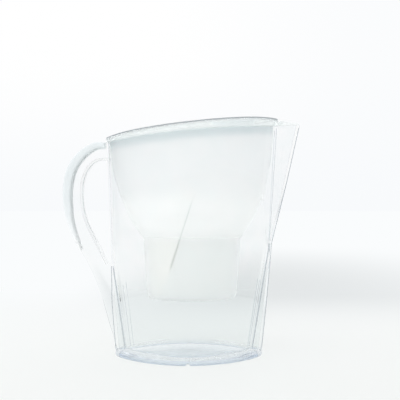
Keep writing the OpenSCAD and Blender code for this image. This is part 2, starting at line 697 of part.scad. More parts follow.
// A lug of the spout flap's hinge, on the front of the lid.
module spout_lug(side) {
    near = spout_barrel_half + flap_gap;
    difference() {
        translate([0, side > 0 ? near : -near - spout_lug_width, 0]) {
            across(flap_root_x, flap_hinge_z, barrel_radius, 0, spout_lug_width);
            translate([lid_half.x - 2 * skirt_thickness, 0, flap_hinge_z - barrel_radius])
                cube([flap_root_x - lid_half.x + 2 * skirt_thickness, spout_lug_width, 2 * barrel_radius]);
        }
        across(flap_root_x, flap_hinge_z, pin_radius + pin_fit, -20, 20);
    }
}

module fill_flap() {
    notch = lug_width + 2 * flap_gap;
    color([0.94, 0.96, 0.96, 0.85]) translate([frame_x, 0, 0]) {
        difference() {
            intersection() {
                difference() {
                    lid_solid(0, 0, skirt_gap);
                    lid_solid(skirt_thickness, lid_skin, -cut_past);
                }
                prism(flap_outline(-flap_gap), lid_low, lid_high);
            }
            for (side = [-1, 1])
                translate([hinge_x - hinge_hollow, side > 0 ? barrel_half : -barrel_half - notch,
                    hinge_z - notch])
                    cube([4 * hinge_hollow, notch, 3 * notch]);
        }
        across(hinge_x, hinge_z, barrel_radius, -barrel_half, barrel_half);
        across(hinge_x, hinge_z, pin_radius, -barrel_half - lug_width, barrel_half + lug_width);
    }
}

module spout_flap() {
    root_half = spout_barrel_half;
    shoulder = flap_root_x + barrel_radius + 0.5;
    color([0.96, 0.97, 0.97, 0.85]) translate([frame_x, 0, 0]) {
        intersection() {
            side_plate(4 * spout_flap_half) polygon([
                [flap_root_x, rim_z(flap_root_x) + spout_flap_gap],
                [spout_tip_x, rim_z(spout_tip_x) + spout_flap_gap],
                [spout_tip_x, rim_z(spout_tip_x) + spout_flap_gap + spout_flap_tip],
                [flap_root_x, rim_z(flap_root_x) + spout_flap_gap + spout_flap_root]]);
            prism([[flap_root_x, -root_half], [shoulder, -root_half], [shoulder, -spout_flap_half],
                [spout_tip_x, -1], [spout_tip_x, 1], [shoulder, spout_flap_half], [shoulder, root_half],
                [flap_root_x, root_half]], lid_low, lid_high);
        }
        across(flap_root_x, flap_hinge_z, barrel_radius, -root_half, root_half);
        across(flap_root_x, flap_hinge_z, pin_radius, -root_half - spout_lug_width,
            root_half + spout_lug_width);
    }
}

module indicator_housing() {
    flange_top = -lid_skin - 0.7;
    color([0.85, 0.88, 0.9]) translate([frame_x, 0, 0]) on_lid() difference() {
        union() {
            slab(indicator_length, indicator_width, -indicator_depth, indicator_proud);
            slab(indicator_length + 2 * indicator_flange, indicator_width + 2 * indicator_flange,
                flange_top - indicator_wall, flange_top);
        }
        slab(inner_length, inner_width, -indicator_depth - 1, 2);
    }
}

module indicator_window() {
    color([0.9, 0.95, 1, 0.5]) translate([frame_x, 0, 0]) on_lid() difference() {
        slab(inner_length - 2 * fit_gap, inner_width - 2 * fit_gap, window_low, indicator_proud);
        translate([button_x, 0, -5]) cylinder(r = button_radius + button_gap, h = 10);
    }
}

module indicator_display() {
    color([0.62, 0.68, 0.62]) translate([frame_x, 0, 0]) on_lid()
        translate([display_x, 0, window_low - display_thickness / 2])
            cube([display_length, inner_width - 4, display_thickness], center = true);
}

module indicator_button() {
    color([0.35, 0.55, 0.8]) translate([frame_x, 0, 0]) on_lid() translate([button_x, 0, button_low]) {
        cylinder(r = button_radius, h = indicator_proud + 0.3 - button_low);
        cylinder(r = button_radius + button_step, h = button_step);
    }
}

module button_dome() {
    color([0.8, 0.8, 0.78]) translate([frame_x, 0, 0]) on_lid() translate([button_x, 0, board_top])
        cylinder(r1 = snap_radius, r2 = snap_crown, h = snap_height);
}

module circuit_board() {
    color([0.2, 0.45, 0.3]) translate([frame_x, 0, 0]) on_lid()
        slab(inner_length - 2 * fit_gap, inner_width - 2 * fit_gap, board_low, board_top);
}

module coin_cell() {
    color([0.78, 0.78, 0.76]) translate([frame_x, 0, 0]) on_lid()
        translate([cell_x, 0, cell_low]) cylinder(r = cell_radius, h = cell_thickness);
}

// A strip under the cell that turns up to the board beside it.
module cell_contact() {
    strip_width = 4;
    leg_x = cell_radius + 2.6;
    color([0.8, 0.75, 0.55]) translate([frame_x, 0, 0]) on_lid()
        translate([cell_x, -strip_width / 2, cell_low - contact_thickness]) {
            translate([-strip_width / 2, 0, 0])
                cube([leg_x + strip_width / 2 + contact_thickness, strip_width, contact_thickness]);
            translate([leg_x, 0, 0])
                cube([contact_thickness, strip_width, cell_thickness + contact_thickness]);
        }
}

module indicator_cover() {
    color([0.85, 0.88, 0.9]) translate([frame_x, 0, 0]) on_lid()
        slab(inner_length - 2 * fit_gap, inner_width - 2 * fit_gap, -indicator_depth,
            -indicator_depth + cover_thickness);
}

jug_body();
handle_grip();
funnel();
cartridge_shell();
cartridge_cap();
cartridge_seal();
pull_ring();
inlet_screen();
outlet_screen();
filter_media();
lid_frame();
fill_flap();
spout_flap();
indicator_housing();
indicator_window();
indicator_display();
indicator_button();
button_dome();
circuit_board();
coin_cell();
cell_contact();
indicator_cover();
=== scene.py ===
import math

import bmesh
import bpy
import numpy as np
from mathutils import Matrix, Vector
from mathutils.geometry import tessellate_polygon


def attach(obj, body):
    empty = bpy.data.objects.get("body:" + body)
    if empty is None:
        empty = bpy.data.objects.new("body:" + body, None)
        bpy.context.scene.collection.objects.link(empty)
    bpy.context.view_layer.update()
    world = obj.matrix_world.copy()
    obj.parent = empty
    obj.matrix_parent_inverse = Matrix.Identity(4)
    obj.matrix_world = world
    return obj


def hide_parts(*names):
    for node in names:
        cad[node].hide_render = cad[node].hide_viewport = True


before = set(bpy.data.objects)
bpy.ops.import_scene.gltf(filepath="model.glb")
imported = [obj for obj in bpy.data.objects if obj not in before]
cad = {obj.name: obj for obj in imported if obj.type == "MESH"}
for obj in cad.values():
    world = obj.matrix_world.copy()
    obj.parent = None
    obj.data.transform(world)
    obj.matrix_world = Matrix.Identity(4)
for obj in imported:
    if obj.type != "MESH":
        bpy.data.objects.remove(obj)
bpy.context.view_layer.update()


print("frame loaded:", len(cad), "nodes")

# The sizes of the pieces are in millimetres, and their places are counted from the rim's middle.
frameX = 11.0  # the rim's middle lies this far in front of the frame's origin


def mix(a, b, share):
    return a + (b - a) * share


def clamp(value):
    return min(1.0, max(0.0, value))


def lookup(value, table, column=1):
    return float(np.interp(value, [row[0] for row in table], [row[column] for row in table]))


def inPlace(points):
    # to metres, in the frame's own place
    return (np.asarray(points, float) + [frameX, 0, 0]) * 0.001


def addObject(name, mesh):
    piece = bpy.data.objects.new(name, mesh)
    bpy.context.scene.collection.objects.link(piece)
    return piece


def makeObject(name, verts, faces):
    mesh = bpy.data.meshes.new(name)
    mesh.from_pydata([tuple(v) for v in verts], [], [tuple(f) for f in faces])
    mesh.validate()
    return addObject(name, mesh)


def pointsOf(piece):
    return np.array([v.co for v in piece.data.vertices])


def setPoints(piece, points):
    piece.data.vertices.foreach_set("co", points.astype(np.float32).ravel())
    return piece


def outwards(piece):
    work = bmesh.new()
    work.from_mesh(piece.data)
    bmesh.ops.remove_doubles(work, verts=work.verts, dist=1e-7)
    bmesh.ops.recalc_face_normals(work, faces=work.faces)
    work.to_mesh(piece.data)
    work.free()
    return piece


# A closed surface through rings of equal count; each end is closed with a fan round its middle.
def loft(name, rings):
    rings = [inPlace(r) for r in rings]
    count = len(rings[0])
    verts = list(np.concatenate(rings))
    faces = []
    for k in range(len(rings) - 1):
        for i in range(count):
            a, b = k * count + i, k * count + (i + 1) % count
            faces.append((a, b, b + count, a + count))
    for k, ring in ((0, rings[0]), (len(rings) - 1, rings[-1])):
        middle = len(verts)
        verts.append(ring.mean(0))
        for i in range(count):
            a, b = k * count + i, k * count + (i + 1) % count
            faces.append((middle, b, a) if k == 0 else (middle, a, b))
    return makeObject(name, verts, faces)


# A prism that stands on an XY outline, or one on an XZ outline that runs across the pitcher.
def prism(name, outline, low, high, upright=True):
    outline = [tuple(p) for p in outline]
    count = len(outline)
    if upright:
        verts = [(x, y, low) for x, y in outline] + [(x, y, high) for x, y in outline]
    else:
        verts = [(x, -high, z) for x, z in outline] + [(x, -low, z) for x, z in outline]
    caps = tessellate_polygon([[Vector((p[0], p[1], 0)) for p in outline]])
    faces = [tuple(t) for t in caps] + [tuple(i + count for i in reversed(t)) for t in caps]
    faces += [(i, i + count, (i + 1) % count + count, (i + 1) % count) for i in range(count)]
    return outwards(makeObject(name, inPlace(verts), faces))


# A round bar across the pitcher, at x and z.
def bar(name, x, z, radius, start, end, sides=48):
    turns = [2 * math.pi * i / sides for i in range(sides)]
    outline = [(x + radius * math.cos(t), z + radius * math.sin(t)) for t in turns]
    return prism(name, outline, -end, -start, upright=False)


def block(name, low, high):
    corners = [(low[0], low[1]), (high[0], low[1]), (high[0], high[1]), (low[0], high[1])]
    return prism(name, corners, low[2], high[2])


def settled(piece):
    # the evaluated mesh takes the place of the modifiers
    graph = bpy.context.evaluated_depsgraph_get()
    mesh = bpy.data.meshes.new_from_object(piece.evaluated_get(graph))
    piece.modifiers.clear()
    piece.data = mesh
    return piece


def combine(piece, other, how):
    step = piece.modifiers.new("combine", "BOOLEAN")
    step.operation = how
    step.object = other
    step.solver = "MANIFOLD"
    settled(piece)
    bpy.data.objects.remove(other)
    return piece


def cut(piece, *others):
    for other in others:
        combine(piece, other, "DIFFERENCE")
    return piece


def join(piece, *others):
    for other in others:
        combine(piece, other, "UNION")
    return piece


def common(piece, other):
    return combine(piece, other, "INTERSECT")


def smooth(piece, angle=30):
    # faces that meet at less than this angle are shaded as one surface
    mesh = piece.data
    for face in mesh.polygons:
        face.use_smooth = True
    mesh.set_sharp_from_angle(angle=math.radians(angle))
    return piece


# The oval that jug, funnel, cartridge and lid share: a sharpness over 1 draws its ends to points.
def ovalRing(half, inset, z, sharp=1.0, tilt=0.0, count=480):
    t = np.linspace(0, 2 * math.pi, count, endpoint=False)
    x = (half[0] - inset) * np.cos(t)
    y = (half[1] - inset) * np.sign(np.sin(t)) * np.abs(np.sin(t)) ** sharp
    return np.column_stack([x, y, z + tilt * x])


def ovalPoint(half, side, degrees):
    # a point of the jug's oval
    x, y = math.cos(math.radians(degrees)), math.sin(math.radians(degrees))
    return half * x, side * math.copysign(abs(y) ** jug["sharpness"], y)


jug = {
    "rimLength": 190.4,
    "rimDepth": 101.4,
    "rimHeight": 248.7,
    "rimSlope": 5.3,  # degrees
    "rimRound": 0.6,
    "waistHeight": 118,
    "waistLength": 178,
    "waistDepth": 92,
    "baseLength": 143,
    "baseDepth": 79,
    "wall": 2.6,
    "endWall": 1.3,  # how much thicker the oval's wall is lengthwise
    "floor": 3,
    "floorRound": 6,
    "sharpness": 1.7,
    "footLength": 164,
    "footDepth": 84,
    "footHeight": 6,
    "footHollow": 4,
    "footRing": 3.6,
    "footRound": 3,
    "footSetback": 3.6,
    "footBlend": 5,  # the body's first level lies this far over the foot
    "drainNotch": 5,
    "keelReach": 87.2,
    "keelAngle": 17,
    "keelBlend": 3,
    "spoutStart": 124,
    "spoutRoot": 3,  # how far the spout's ridge stands out at its start
    "spoutRidgeReach": 107.4,
    "spoutReach": 121.4,
    "spoutAngle": 28,
    "spoutFull": 40,
    "noseRound": 0.05,  # in lengths of a flank
    "noseSpacing": 1.6,  # over 1, the points crowd towards the nose
    "tipShare": 0.35,  # how thick the keels' tips are, between one wall and the flanks' slant
    "nosePoints": 24,
    "sidePoints": 168,
    "levelStep": 4,
}
rise = math.tan(math.radians(jug["rimSlope"]))
keelMiddle = (jug["footHeight"] + jug["waistHeight"]) / 2
spoutMiddle = (jug["spoutStart"] + jug["rimHeight"]) / 2
rearReach = [(jug["footHeight"], jug["footLength"] / 2), (keelMiddle, jug["keelReach"]),
             (jug["waistHeight"], jug["waistLength"] / 2), (jug["rimHeight"], jug["rimLength"] / 2)]
frontReach = [(jug["footHeight"], jug["footLength"] / 2), (keelMiddle, jug["keelReach"]),
              (jug["spoutStart"], jug["waistLength"] / 2 + jug["spoutRoot"]),
              (spoutMiddle, jug["spoutRidgeReach"]), (jug["rimHeight"], jug["spoutReach"])]
bodyTable = [(jug[height], jug[part + "Length"] / 2, jug[part + "Depth"] / 2) for height, part in (
    ("footHeight", "base"), ("waistHeight", "waist"), ("rimHeight", "rim"))]
floorTop = jug["footHollow"] + jug["floor"]


def rimZ(x):
    return jug["rimHeight"] + rise * x


def bodyMiddle(level):
    return -jug["footSetback"] * (1 - level / jug["rimHeight"])


def bodySize(level):
    # half the oval's length and depth
    return lookup(level, bodyTable), lookup(level, bodyTable, 2)


def onJug(level, reach, side):
    # a level rises towards the front, as the rim does
    return reach + bodyMiddle(level), side, level * (1 + rise * reach / jug["rimHeight"])


def frontAngle(level):
    # the spout's flanks open from the keel's angle to their own
    opened = clamp((level - jug["spoutStart"]) / jug["spoutFull"])
    return mix(jug["keelAngle"], jug["spoutAngle"], opened)


def keelAmount(tip, half):
    # 0 where the end is plain oval, 1 where a keel or the spout stands out
    return clamp((tip - half) / jug["keelBlend"])


def tipWall(wall, half, side, tip, angle):
    rootX, rootY = ovalPoint(half, side, angle)
    return wall * mix(1, math.hypot(tip - rootX, rootY) / max(rootY, 1), jug["tipShare"])


# A point from an end's tip, at s = 0, to where its flank meets the oval, at 1.
def endPoint(half, side, tip, angle, s):
    amount = keelAmount(tip, half)
    onOval = ovalPoint(half, side, angle * s)
    rootX, rootY = ovalPoint(half, side, angle)
    blunt = jug["noseRound"]  # the flanks meet in a small round nose
    back = (math.hypot(s, blunt) - blunt) / (math.hypot(1, blunt) - blunt)
    onFlank = (mix(tip, rootX, back), rootY * s)
    return mix(onOval[0], onFlank[0], amount), mix(onOval[1], onFlank[1], amount)


def jugOutline(half, side, front, rear, angle, inset=0.0):
    h, d = half - jug["endWall"] * inset, side - inset
    keel = jug["keelAngle"]
    ends = [(front, angle), (rear, keel)]
    if inset:
        ends = [(mix(h, tip - tipWall(inset, half, side, tip, turn), keelAmount(tip, half)), turn)
                for tip, turn in ends]
    nose, sides = jug["nosePoints"], jug["sidePoints"]
    steps = [(i / nose) ** jug["noseSpacing"] for i in range(nose + 1)]
    near = [endPoint(h, d, *ends[0], s) for s in steps]
    near += [ovalPoint(h, d, mix(angle, 180 - keel, i / sides)) for i in range(1, sides)]
    near += [(-x, y) for x, y in (endPoint(h, d, *ends[1], s) for s in reversed(steps))]
    return near + [(x, -y) for x, y in near[-2:0:-1]]


def jugRing(level, inset=0.0):
    outline = jugOutline(*bodySize(level), lookup(level, frontReach), lookup(level, rearReach),
                         frontAngle(level), inset)
    return np.array([onJug(level, x, y) for x, y in outline])


def footRing(z, inset):
    half, side = jug["footLength"] / 2 - inset, jug["footDepth"] / 2 - inset
    outline = jugOutline(half, side, half, half, jug["keelAngle"])
    return np.array([(x + bodyMiddle(z), y, z) for x, y in outline])


def floorRing(sizeX, sizeY, lift):
    ring = jugRing(floorTop + jug["floorRound"], jug["wall"])
    return np.column_stack([ring[:, 0] * sizeX, ring[:, 1] * sizeY,
                            np.full(len(ring), floorTop + lift)])


def bodyLevels(low, high):
    marks = sorted({low, high, keelMiddle, jug["waistHeight"], jug["spoutStart"], spoutMiddle})
    levels = []
    for a, b in zip(marks, marks[1:]):
        if low <= a and b <= high:
            count = max(1, round((b - a) / jug["levelStep"]))
            levels += [mix(a, b, i / count) for i in range(count)]
    return levels + [high]


def insideRings(inset):
    # length and depth as shares of the first level's, and the lift over the floor
    corner = [(0.95, 0.93, 0), (0.968, 0.955, 0.3), (0.98, 0.97, 0.9), (0.988, 0.983, 2),
              (0.995, 0.993, 3.8), (1, 1, jug["floorRound"])]
    low, high = floorTop + jug["floorRound"], jug["rimHeight"] - 2 * jug["rimRound"]
    return [floorRing(*c) for c in corner] + [jugRing(level, inset)
                                              for level in bodyLevels(low + jug["levelStep"] / 2, high)]


def jugCup():
    wall, rim, top, hollow = jug["wall"], jug["rimRound"], jug["rimHeight"], jug["footHollow"]
    # heights and insets: inside the foot ring, outside the foot, and over the rim
    ring = jug["footRound"] + jug["footRing"]
    foot = [(hollow, ring + 1.2), (hollow - 0.35, ring + 0.35), (hollow - 1.2, ring), (0.4, ring),
            (0, ring - 0.4), (0, jug["footRound"]), (0.12, 2.4), (0.45, 1.75), (1.2, 1), (2, 0.42), (3, 0),
            (5, 0.1), (jug["footHeight"], 0.4)]
    over = [(top - rim, 0), (top - 0.3 * rim, 0.3 * rim), (top, rim), (top, wall - rim),
            (top - 0.3 * rim, wall - 0.3 * rim), (top - rim, wall)]
    rings = [footRing(*f) for f in foot]
    rings += [jugRing(level) for level in bodyLevels(jug["footHeight"] + jug["footBlend"], top - 2 * rim)]
    rings += [jugRing(*o) for o in over]
    return loft("jugShell", rings + insideRings(wall)[::-1])


handle = {
    "reach": 143.4,
    "middle": 184,
    "barWidth": 21.4,
    "web": 5,
    "flange": 2.4,
    "flangeDepth": 15,
    "flangeRound": 1.1,
    "top": (3, -0.6),  # where the outer curve starts, from the rim's rear end
    "end": (1.6, 4.3),  # where it ends, from the foot's rear end
    "holeRoot": 3,
    "holeRise": 35.8,
    "holeFall": 92,
    "buried": 29,  # how far the web reaches into the jug before it is cut
    "curveSteps": 20,
    "gripThickness": 9,
    "gripDepth": 19,
    "gripRound": 2.4,
    "gripFirst": 0.25,  # where the grip begins and ends, in spans of the outer curve
    "gripLast": 6.2,
    "gripThin": 0.42,  # its thickness at both ends, as a share
    "gripTail": 0.35,  # and once more at the low end
    "gripBite": 0.3,  # how far the soft grip is moulded into the clear bar
}


# A smooth curve through the points between the first and the last.
def curve(points, steps):
    p = [np.array(q, float) for q in points]
    found = []
    for i in range(1, len(p) - 2):
        for k in range(steps):
            s = k / steps
            found.append(0.5 * (2 * p[i] + (p[i + 1] - p[i - 1]) * s
                                + (2 * p[i - 1] - 5 * p[i] + 4 * p[i + 1] - p[i + 2]) * s * s
                                + (3 * p[i] - p[i - 1] - 3 * p[i + 1] + p[i + 2]) * s ** 3))
    return found + [p[-2]]


def between(a, b, shares):
    return [(mix(a[0], b[0], u), mix(a[1], b[1], v)) for u, v in shares]


def inward(line, i, distance):
    d = line[min(i + 1, len(line) - 1)] - line[max(i - 1, 0)]
    d = d / np.linalg.norm(d)
    return line[i] + distance * np.array([-d[1], d[0]])


rimRear, footRear = -jug["rimLength"] / 2, -jug["footLength"] / 2 - jug["footSetback"]
handleTop = (rimRear + handle["top"][0], rimZ(rimRear) + handle["top"][1])
handleEnd = (footRear + handle["end"][0], jug["footHeight"] + handle["end"][1])
widest = (-handle["reach"], handle["middle"])
holeMiddle = (-handle["reach"] + handle["barWidth"], handle["middle"])
holeRoot = -jug["waistLength"] / 2 + handle["holeRoot"]
holeTop = (holeRoot, handle["middle"] + handle["holeRise"])
holeLow = (holeRoot, handle["middle"] - handle["holeFall"])
outerLine = curve(between(widest, handleTop, [(1.4, 0.98), (1, 1), (0.66, 1), (0.33, 0.81), (0.085, 0.47),
                                              (0, 0)])
                  + between(widest, handleEnd, [(0.06, 0.155), (0.27, 0.335), (0.53, 0.505), (0.7, 0.652),
                                                (0.86, 0.84), (1, 1), (1.03, 1.15)]),
                  handle["curveSteps"])
holeLine = curve(between(holeMiddle, holeTop, [(1.114, 0.985), (0.83, 1.01), (0.46, 0.98), (0.2, 0.76),
                                               (0.04, 0.4), (0, 0)])
                 + between(holeMiddle, holeLow, [(0.035, 0.18), (0.13, 0.33), (0.33, 0.51), (0.57, 0.69),
                                                 (0.79, 0.86), (1, 1)]),
                 handle["curveSteps"])
gripStart = round(handle["gripFirst"] * handle["curveSteps"])
gripEnd = round(handle["gripLast"] * handle["curveSteps"])


def gripAmount(i):
    # the grip swells soon after its start and thins towards its low end
    s = (i - gripStart) / (gripEnd - gripStart)
    swell = abs(math.sin(math.pi * clamp(mix(0.08, 1, s)))) ** 0.7
    tail = mix(1, handle["gripTail"], clamp((s - 0.75) / 0.25))
    return handle["gripThickness"] * mix(handle["gripThin"], 1, swell) * tail


# A strip along a line in the XZ plane: at each point a rounded section from the line to a depth inward.
def strip(name, line, picks, amount, depth, corner, points=32):
    rings = []
    for i in picks:
        a, b = line[i], inward(line, i, amount(i))
        middle, across = (a + b) / 2, (b - a)
        half, side = np.linalg.norm(across) / 2, depth / 2
        across = across / (2 * half)
        r = min(corner, half * 0.98)
        ring = []
        for turn in range(points):
            t = 2 * math.pi * (turn + 0.5) / points
            u = math.copysign(half - r, math.cos(t)) + r * math.cos(t)
            v = math.copysign(side - r, math.sin(t)) + r * math.sin(t)
            ring.append((middle[0] + across[0] * u, v, middle[1] + across[1] * u))
        rings.append(np.array(ring))
    return outwards(loft(name, rings))


def handleSolid():
    # the last corners of both outlines lie inside the jug's wall, which cuts them off
    root = -jug["waistLength"] / 2 + handle["buried"]
    grip = [inward(outerLine, i, gripAmount(i)) for i in range(gripStart, gripEnd + 1)]
    outside = [tuple(p) for p in outerLine[:gripStart] + grip + outerLine[gripEnd + 1:]]
    outside += [(-jug["footLength"] / 2 + 12, jug["footHeight"] - 0.9), (root, jug["footHeight"] + 14),
                (root, rimZ(root) - 7)]
    hole = [tuple(p) for p in holeLine]
    hole += [(root - 12, hole[-1][1]), (root - 12, hole[0][1])]
    half = handle["web"] / 2
    web = cut(prism("web", outside, -half, half, upright=False),
              prism("hole", hole, -2 * half, 2 * half, upright=False))
    return join(web, strip("flange", holeLine, range(len(holeLine)), lambda i: -handle["flange"],
                           handle["flangeDepth"], handle["flangeRound"]))


def makeJug():
    shell = jugCup()
    inset = 0.6 * jug["wall"]  # the handle ends within the wall
    inside = loft("inside", insideRings(inset) + [jugRing(jug["rimHeight"], inset) + [0, 0, 6]])
    join(shell, cut(handleSolid(), inside))
    cut(shell, bar("notch", bodyMiddle(0), 0, jug["drainNotch"] / 2, -jug["footDepth"], jug["footDepth"]))
    return smooth(shell, 28)


def makeGrip():
    grip = strip("handleGrip", outerLine, range(gripStart, gripEnd + 1),
                 lambda i: gripAmount(i) + handle["gripBite"], handle["gripDepth"], handle["gripRound"])
    return smooth(grip, 40)


funnel = {
    "wall": 2.2,
    "endWall": 1.15,  # how much thicker the bowl's wall is lengthwise
    "flange": 2,
    "flangeInset": 1.2,
    "gap": 0.5,
    "endGap": 0.3,  # added at the pointed ends
    "seat": 0.05,
    "pocketLength": 107.8,
    "pocketDepth": 69,
    "pocketDraft": 4.4,
    "pocketSharpness": 0.92,
    "bowlStart": 2.6,  # how much wider the bowl starts than the pocket
    "seatHeight": 138,
    "pocketBottom": 66,
    "slotWidth": 3,
    "slotPitch": 6.6,
    "slotLength": 34.5,
    "slotCount": 11,
}
rimInside = (jug["rimLength"] / 2 - jug["endWall"] * jug["wall"], jug["rimDepth"] / 2 - jug["wall"])
neck = (rimInside[0] - funnel["gap"] - funnel["endGap"], rimInside[1] - funnel["gap"])
flangeHalf = (jug["rimLength"] / 2 - funnel["flangeInset"], jug["rimDepth"] / 2 - funnel["flangeInset"])
flangeLow = jug["rimHeight"] + funnel["seat"]
pocketHalf = (funnel["pocketLength"] / 2, funnel["pocketDepth"] / 2)
# the bowl's height and its growth, as shares, through a smooth curve
bowlLine = curve([(-0.02, -0.06), (0.03, 0.08), (0.08, 0.2), (0.2, 0.42), (0.36, 0.63), (0.5, 0.765),
                  (0.62, 0.86), (0.75, 0.935), (0.88, 0.978), (0.985, 1), (1.1, 1.0)], 5)


def bowlRing(share, growth, inset):
    bowlHeight = jug["rimHeight"] - funnel["seatHeight"]
    half = (mix(pocketHalf[0] + funnel["bowlStart"], neck[0], growth) - inset * funnel["endWall"],
            mix(pocketHalf[1] + funnel["bowlStart"], neck[1], growth) - inset)
    return ovalRing(half, 0, funnel["seatHeight"] + share * bowlHeight,
                    mix(funnel["pocketSharpness"], jug["sharpness"], growth), rise * share * share)


def bowlRings(inset):
    return [bowlRing(p[0], min(p[1], 1), inset) for p in bowlLine]


def pocketRing(z, inset):
    return ovalRing(pocketHalf, inset, z, funnel["pocketSharpness"])


def makeFunnel():
    wall, draft, low, seat = (funnel[k] for k in ("wall", "pocketDraft", "pocketBottom", "seatHeight"))
    top, deep = flangeLow + funnel["flange"], low + wall
    mouth = (neck[0] - wall * funnel["endWall"], neck[1] - wall)
    # heights and insets of the pocket, and the flange's ovals with their insets and heights
    outside = [(low, draft + 5), (low + 0.3, draft + 3.6), (low + 1.5, draft + 2), (low + 3, draft + 0.8),
               (low + 5, draft), (seat - 5, 0), (seat - 3.6, -0.3), (seat - wall, -2.4)]
    inside = [(seat, -0.4), (seat, wall - 0.5), (seat - 0.5, wall), (deep + 4, draft + wall),
              (deep + 2, draft + wall + 0.7), (deep + 0.7, draft + wall + 1.7), (deep, draft + 5.4)]
    flange = [(neck, 0, flangeLow), (flangeHalf, 0.3, flangeLow), (flangeHalf, 0, flangeLow + 0.35),
              (flangeHalf, 0, top - 0.5), (flangeHalf, 0.5, top), (mouth, -0.6, top), (mouth, 0, top - 0.6)]
    rings = [pocketRing(*p) for p in outside] + bowlRings(0)
    rings += [ovalRing(half, inset, z, jug["sharpness"], rise) for half, inset, z in flange]
    rings += bowlRings(wall)[::-1] + [pocketRing(*p) for p in inside]
    slots = slotRow("outletSlots", funnel["slotCount"], funnel["slotPitch"], funnel["slotWidth"],
                    funnel["slotLength"], 4 * wall, (0, 0, low))
    return smooth(cut(loft("funnelBowl", rings), slots))


# Wraps a socket of a shader or a geometry tree, so that maths on it reads as a plain expression.
class Wire:
    def __init__(self, tree, socket=None):
        self.tree, self.socket = tree, socket

    def node(self, kind, settings=None, values=None, out=0):
        made = self.tree.nodes.new(kind)
        for key, value in (settings or {}).items():
            setattr(made, key, value)
        for key, value in (values or {}).items():
            if isinstance(value, Wire):
                self.tree.links.new(value.socket, made.inputs[key])
            else:
                made.inputs[key].default_value = value
        return Wire(self.tree, made.outputs[out])

    def maths(self, operation, *values):
        return self.node("ShaderNodeMath", {"operation": operation}, dict(enumerate(values)))

    def __add__(self, other):
        return self.maths("ADD", self, other)

    def __sub__(self, other):
        return self.maths("SUBTRACT", self, other)

    def __rsub__(self, other):
        return self.maths("SUBTRACT", other, self)

    def __mul__(self, other):
        return self.maths("MULTIPLY", self, other)

    __radd__, __rmul__ = __add__, __mul__

    def unsigned(self):
        return self.maths("ABSOLUTE", self)

    def largest(self, *others):
        found = self
        for other in others:
            found = self.maths("MAXIMUM", found, other)
        return found

    def within(self, low, high):
        # 0 below low, 1 above high, and smooth between them
        return self.node("ShaderNodeMapRange", {"interpolation_type": "SMOOTHSTEP"},
                         {"Value": self, "From Min": low, "From Max": high})

    def blend(self, first, second):
        # a colour between two others, by this share
        return self.node("ShaderNodeMix", {"data_type": "RGBA"}, {0: self, 6: first, 7: second}, 2)

    def axis(self, name):
        return self.node("ShaderNodeSeparateXYZ", {}, {0: self}, name)

    def noise(self, scale, detail):
        return self.node("ShaderNodeTexNoise", {}, {"Vector": self, "Scale": scale, "Detail": detail})

    def bumps(self, strength, depth):
        # a normal from this height
        return self.node("ShaderNodeBump", {}, {"Strength": strength, "Distance": depth, "Height": self})

    def paths(self, *labels):
        return [self.node("ShaderNodeLightPath", {}, {}, label) for label in labels]


def geometryTree(name, inputs):
    tree = bpy.data.node_groups.new(name, "GeometryNodeTree")
    for label, kind in {"Geometry": "Geometry", **inputs}.items():
        tree.interface.new_socket(label, in_out="INPUT", socket_type="NodeSocket" + kind)
    tree.interface.new_socket("Geometry", in_out="OUTPUT", socket_type="NodeSocketGeometry")
    given = tree.nodes.new("NodeGroupInput")
    return tree, Wire(tree), {s.name: Wire(tree, s) for s in given.outputs if s.name}


def endTree(tree, start, geometry, material):
    real = start.node("GeometryNodeRealizeInstances", {}, {0: geometry})
    done = start.node("GeometryNodeSetMaterial", {}, {"Geometry": real, "Material": material})
    tree.links.new(done.socket, tree.nodes.new("NodeGroupOutput").inputs[0])
    return tree


def runTree(piece, tree, values):
    step = piece.modifiers.new(tree.name, "NODES")
    step.node_group = tree
    names = {item.name: item.identifier for item in tree.interface.items_tree if item.in_out == "INPUT"}
    for label, value in values.items():
        step[names[label]] = value
    return settled(piece)


# A row of round-ended slots along X, as closed cutters that stand on Z.
def buildSlotTree():
    tree, start, given = geometryTree("slotRow", {
        "Count": "Int", "Pitch": "Float", "Slot Width": "Float", "Slot Length": "Float",
        "Slot Depth": "Float", "Material": "Material"})
    shape = start.node("GeometryNodeCurvePrimitiveQuadrilateral", {},
                       {"Width": given["Slot Width"], "Height": given["Slot Length"]})
    shape = start.node("GeometryNodeFilletCurve", {"mode": "POLY"},
                       {"Curve": shape, "Count": 6, "Radius": given["Slot Width"] * 0.49,
                        "Limit Radius": True})
    flat = start.node("GeometryNodeFillCurve", {"mode": "NGONS"}, {0: shape})
    tall = start.node("GeometryNodeExtrudeMesh", {"mode": "FACES"},
                      {"Mesh": flat, "Offset Scale": given["Slot Depth"], "Individual": False})
    whole = tree.nodes.new("GeometryNodeJoinGeometry")
    for half in (tall, start.node("GeometryNodeFlipFaces", {}, {0: flat})):
        tree.links.new(half.socket, whole.inputs[0])
    slot = start.node("GeometryNodeMergeByDistance", {},
                      {"Geometry": Wire(tree, whole.outputs[0]), "Distance": 1e-6})
    sunk = start.node("ShaderNodeCombineXYZ", {}, {"Z": given["Slot Depth"] * -0.5})
    slot = start.node("GeometryNodeTransform", {}, {"Geometry": slot, "Translation": sunk})
    offset = start.node("ShaderNodeCombineXYZ", {}, {"X": given["Pitch"]})
    first = start.node("ShaderNodeCombineXYZ", {}, {"X": (given["Count"] - 1) * given["Pitch"] * -0.5})
    row = start.node("GeometryNodeMeshLine", {"mode": "OFFSET"},
                     {"Count": given["Count"], "Start Location": first, "Offset": offset})
    placed = start.node("GeometryNodeInstanceOnPoints", {}, {"Points": row, "Instance": slot})
    return endTree(tree, start, placed, given["Material"])


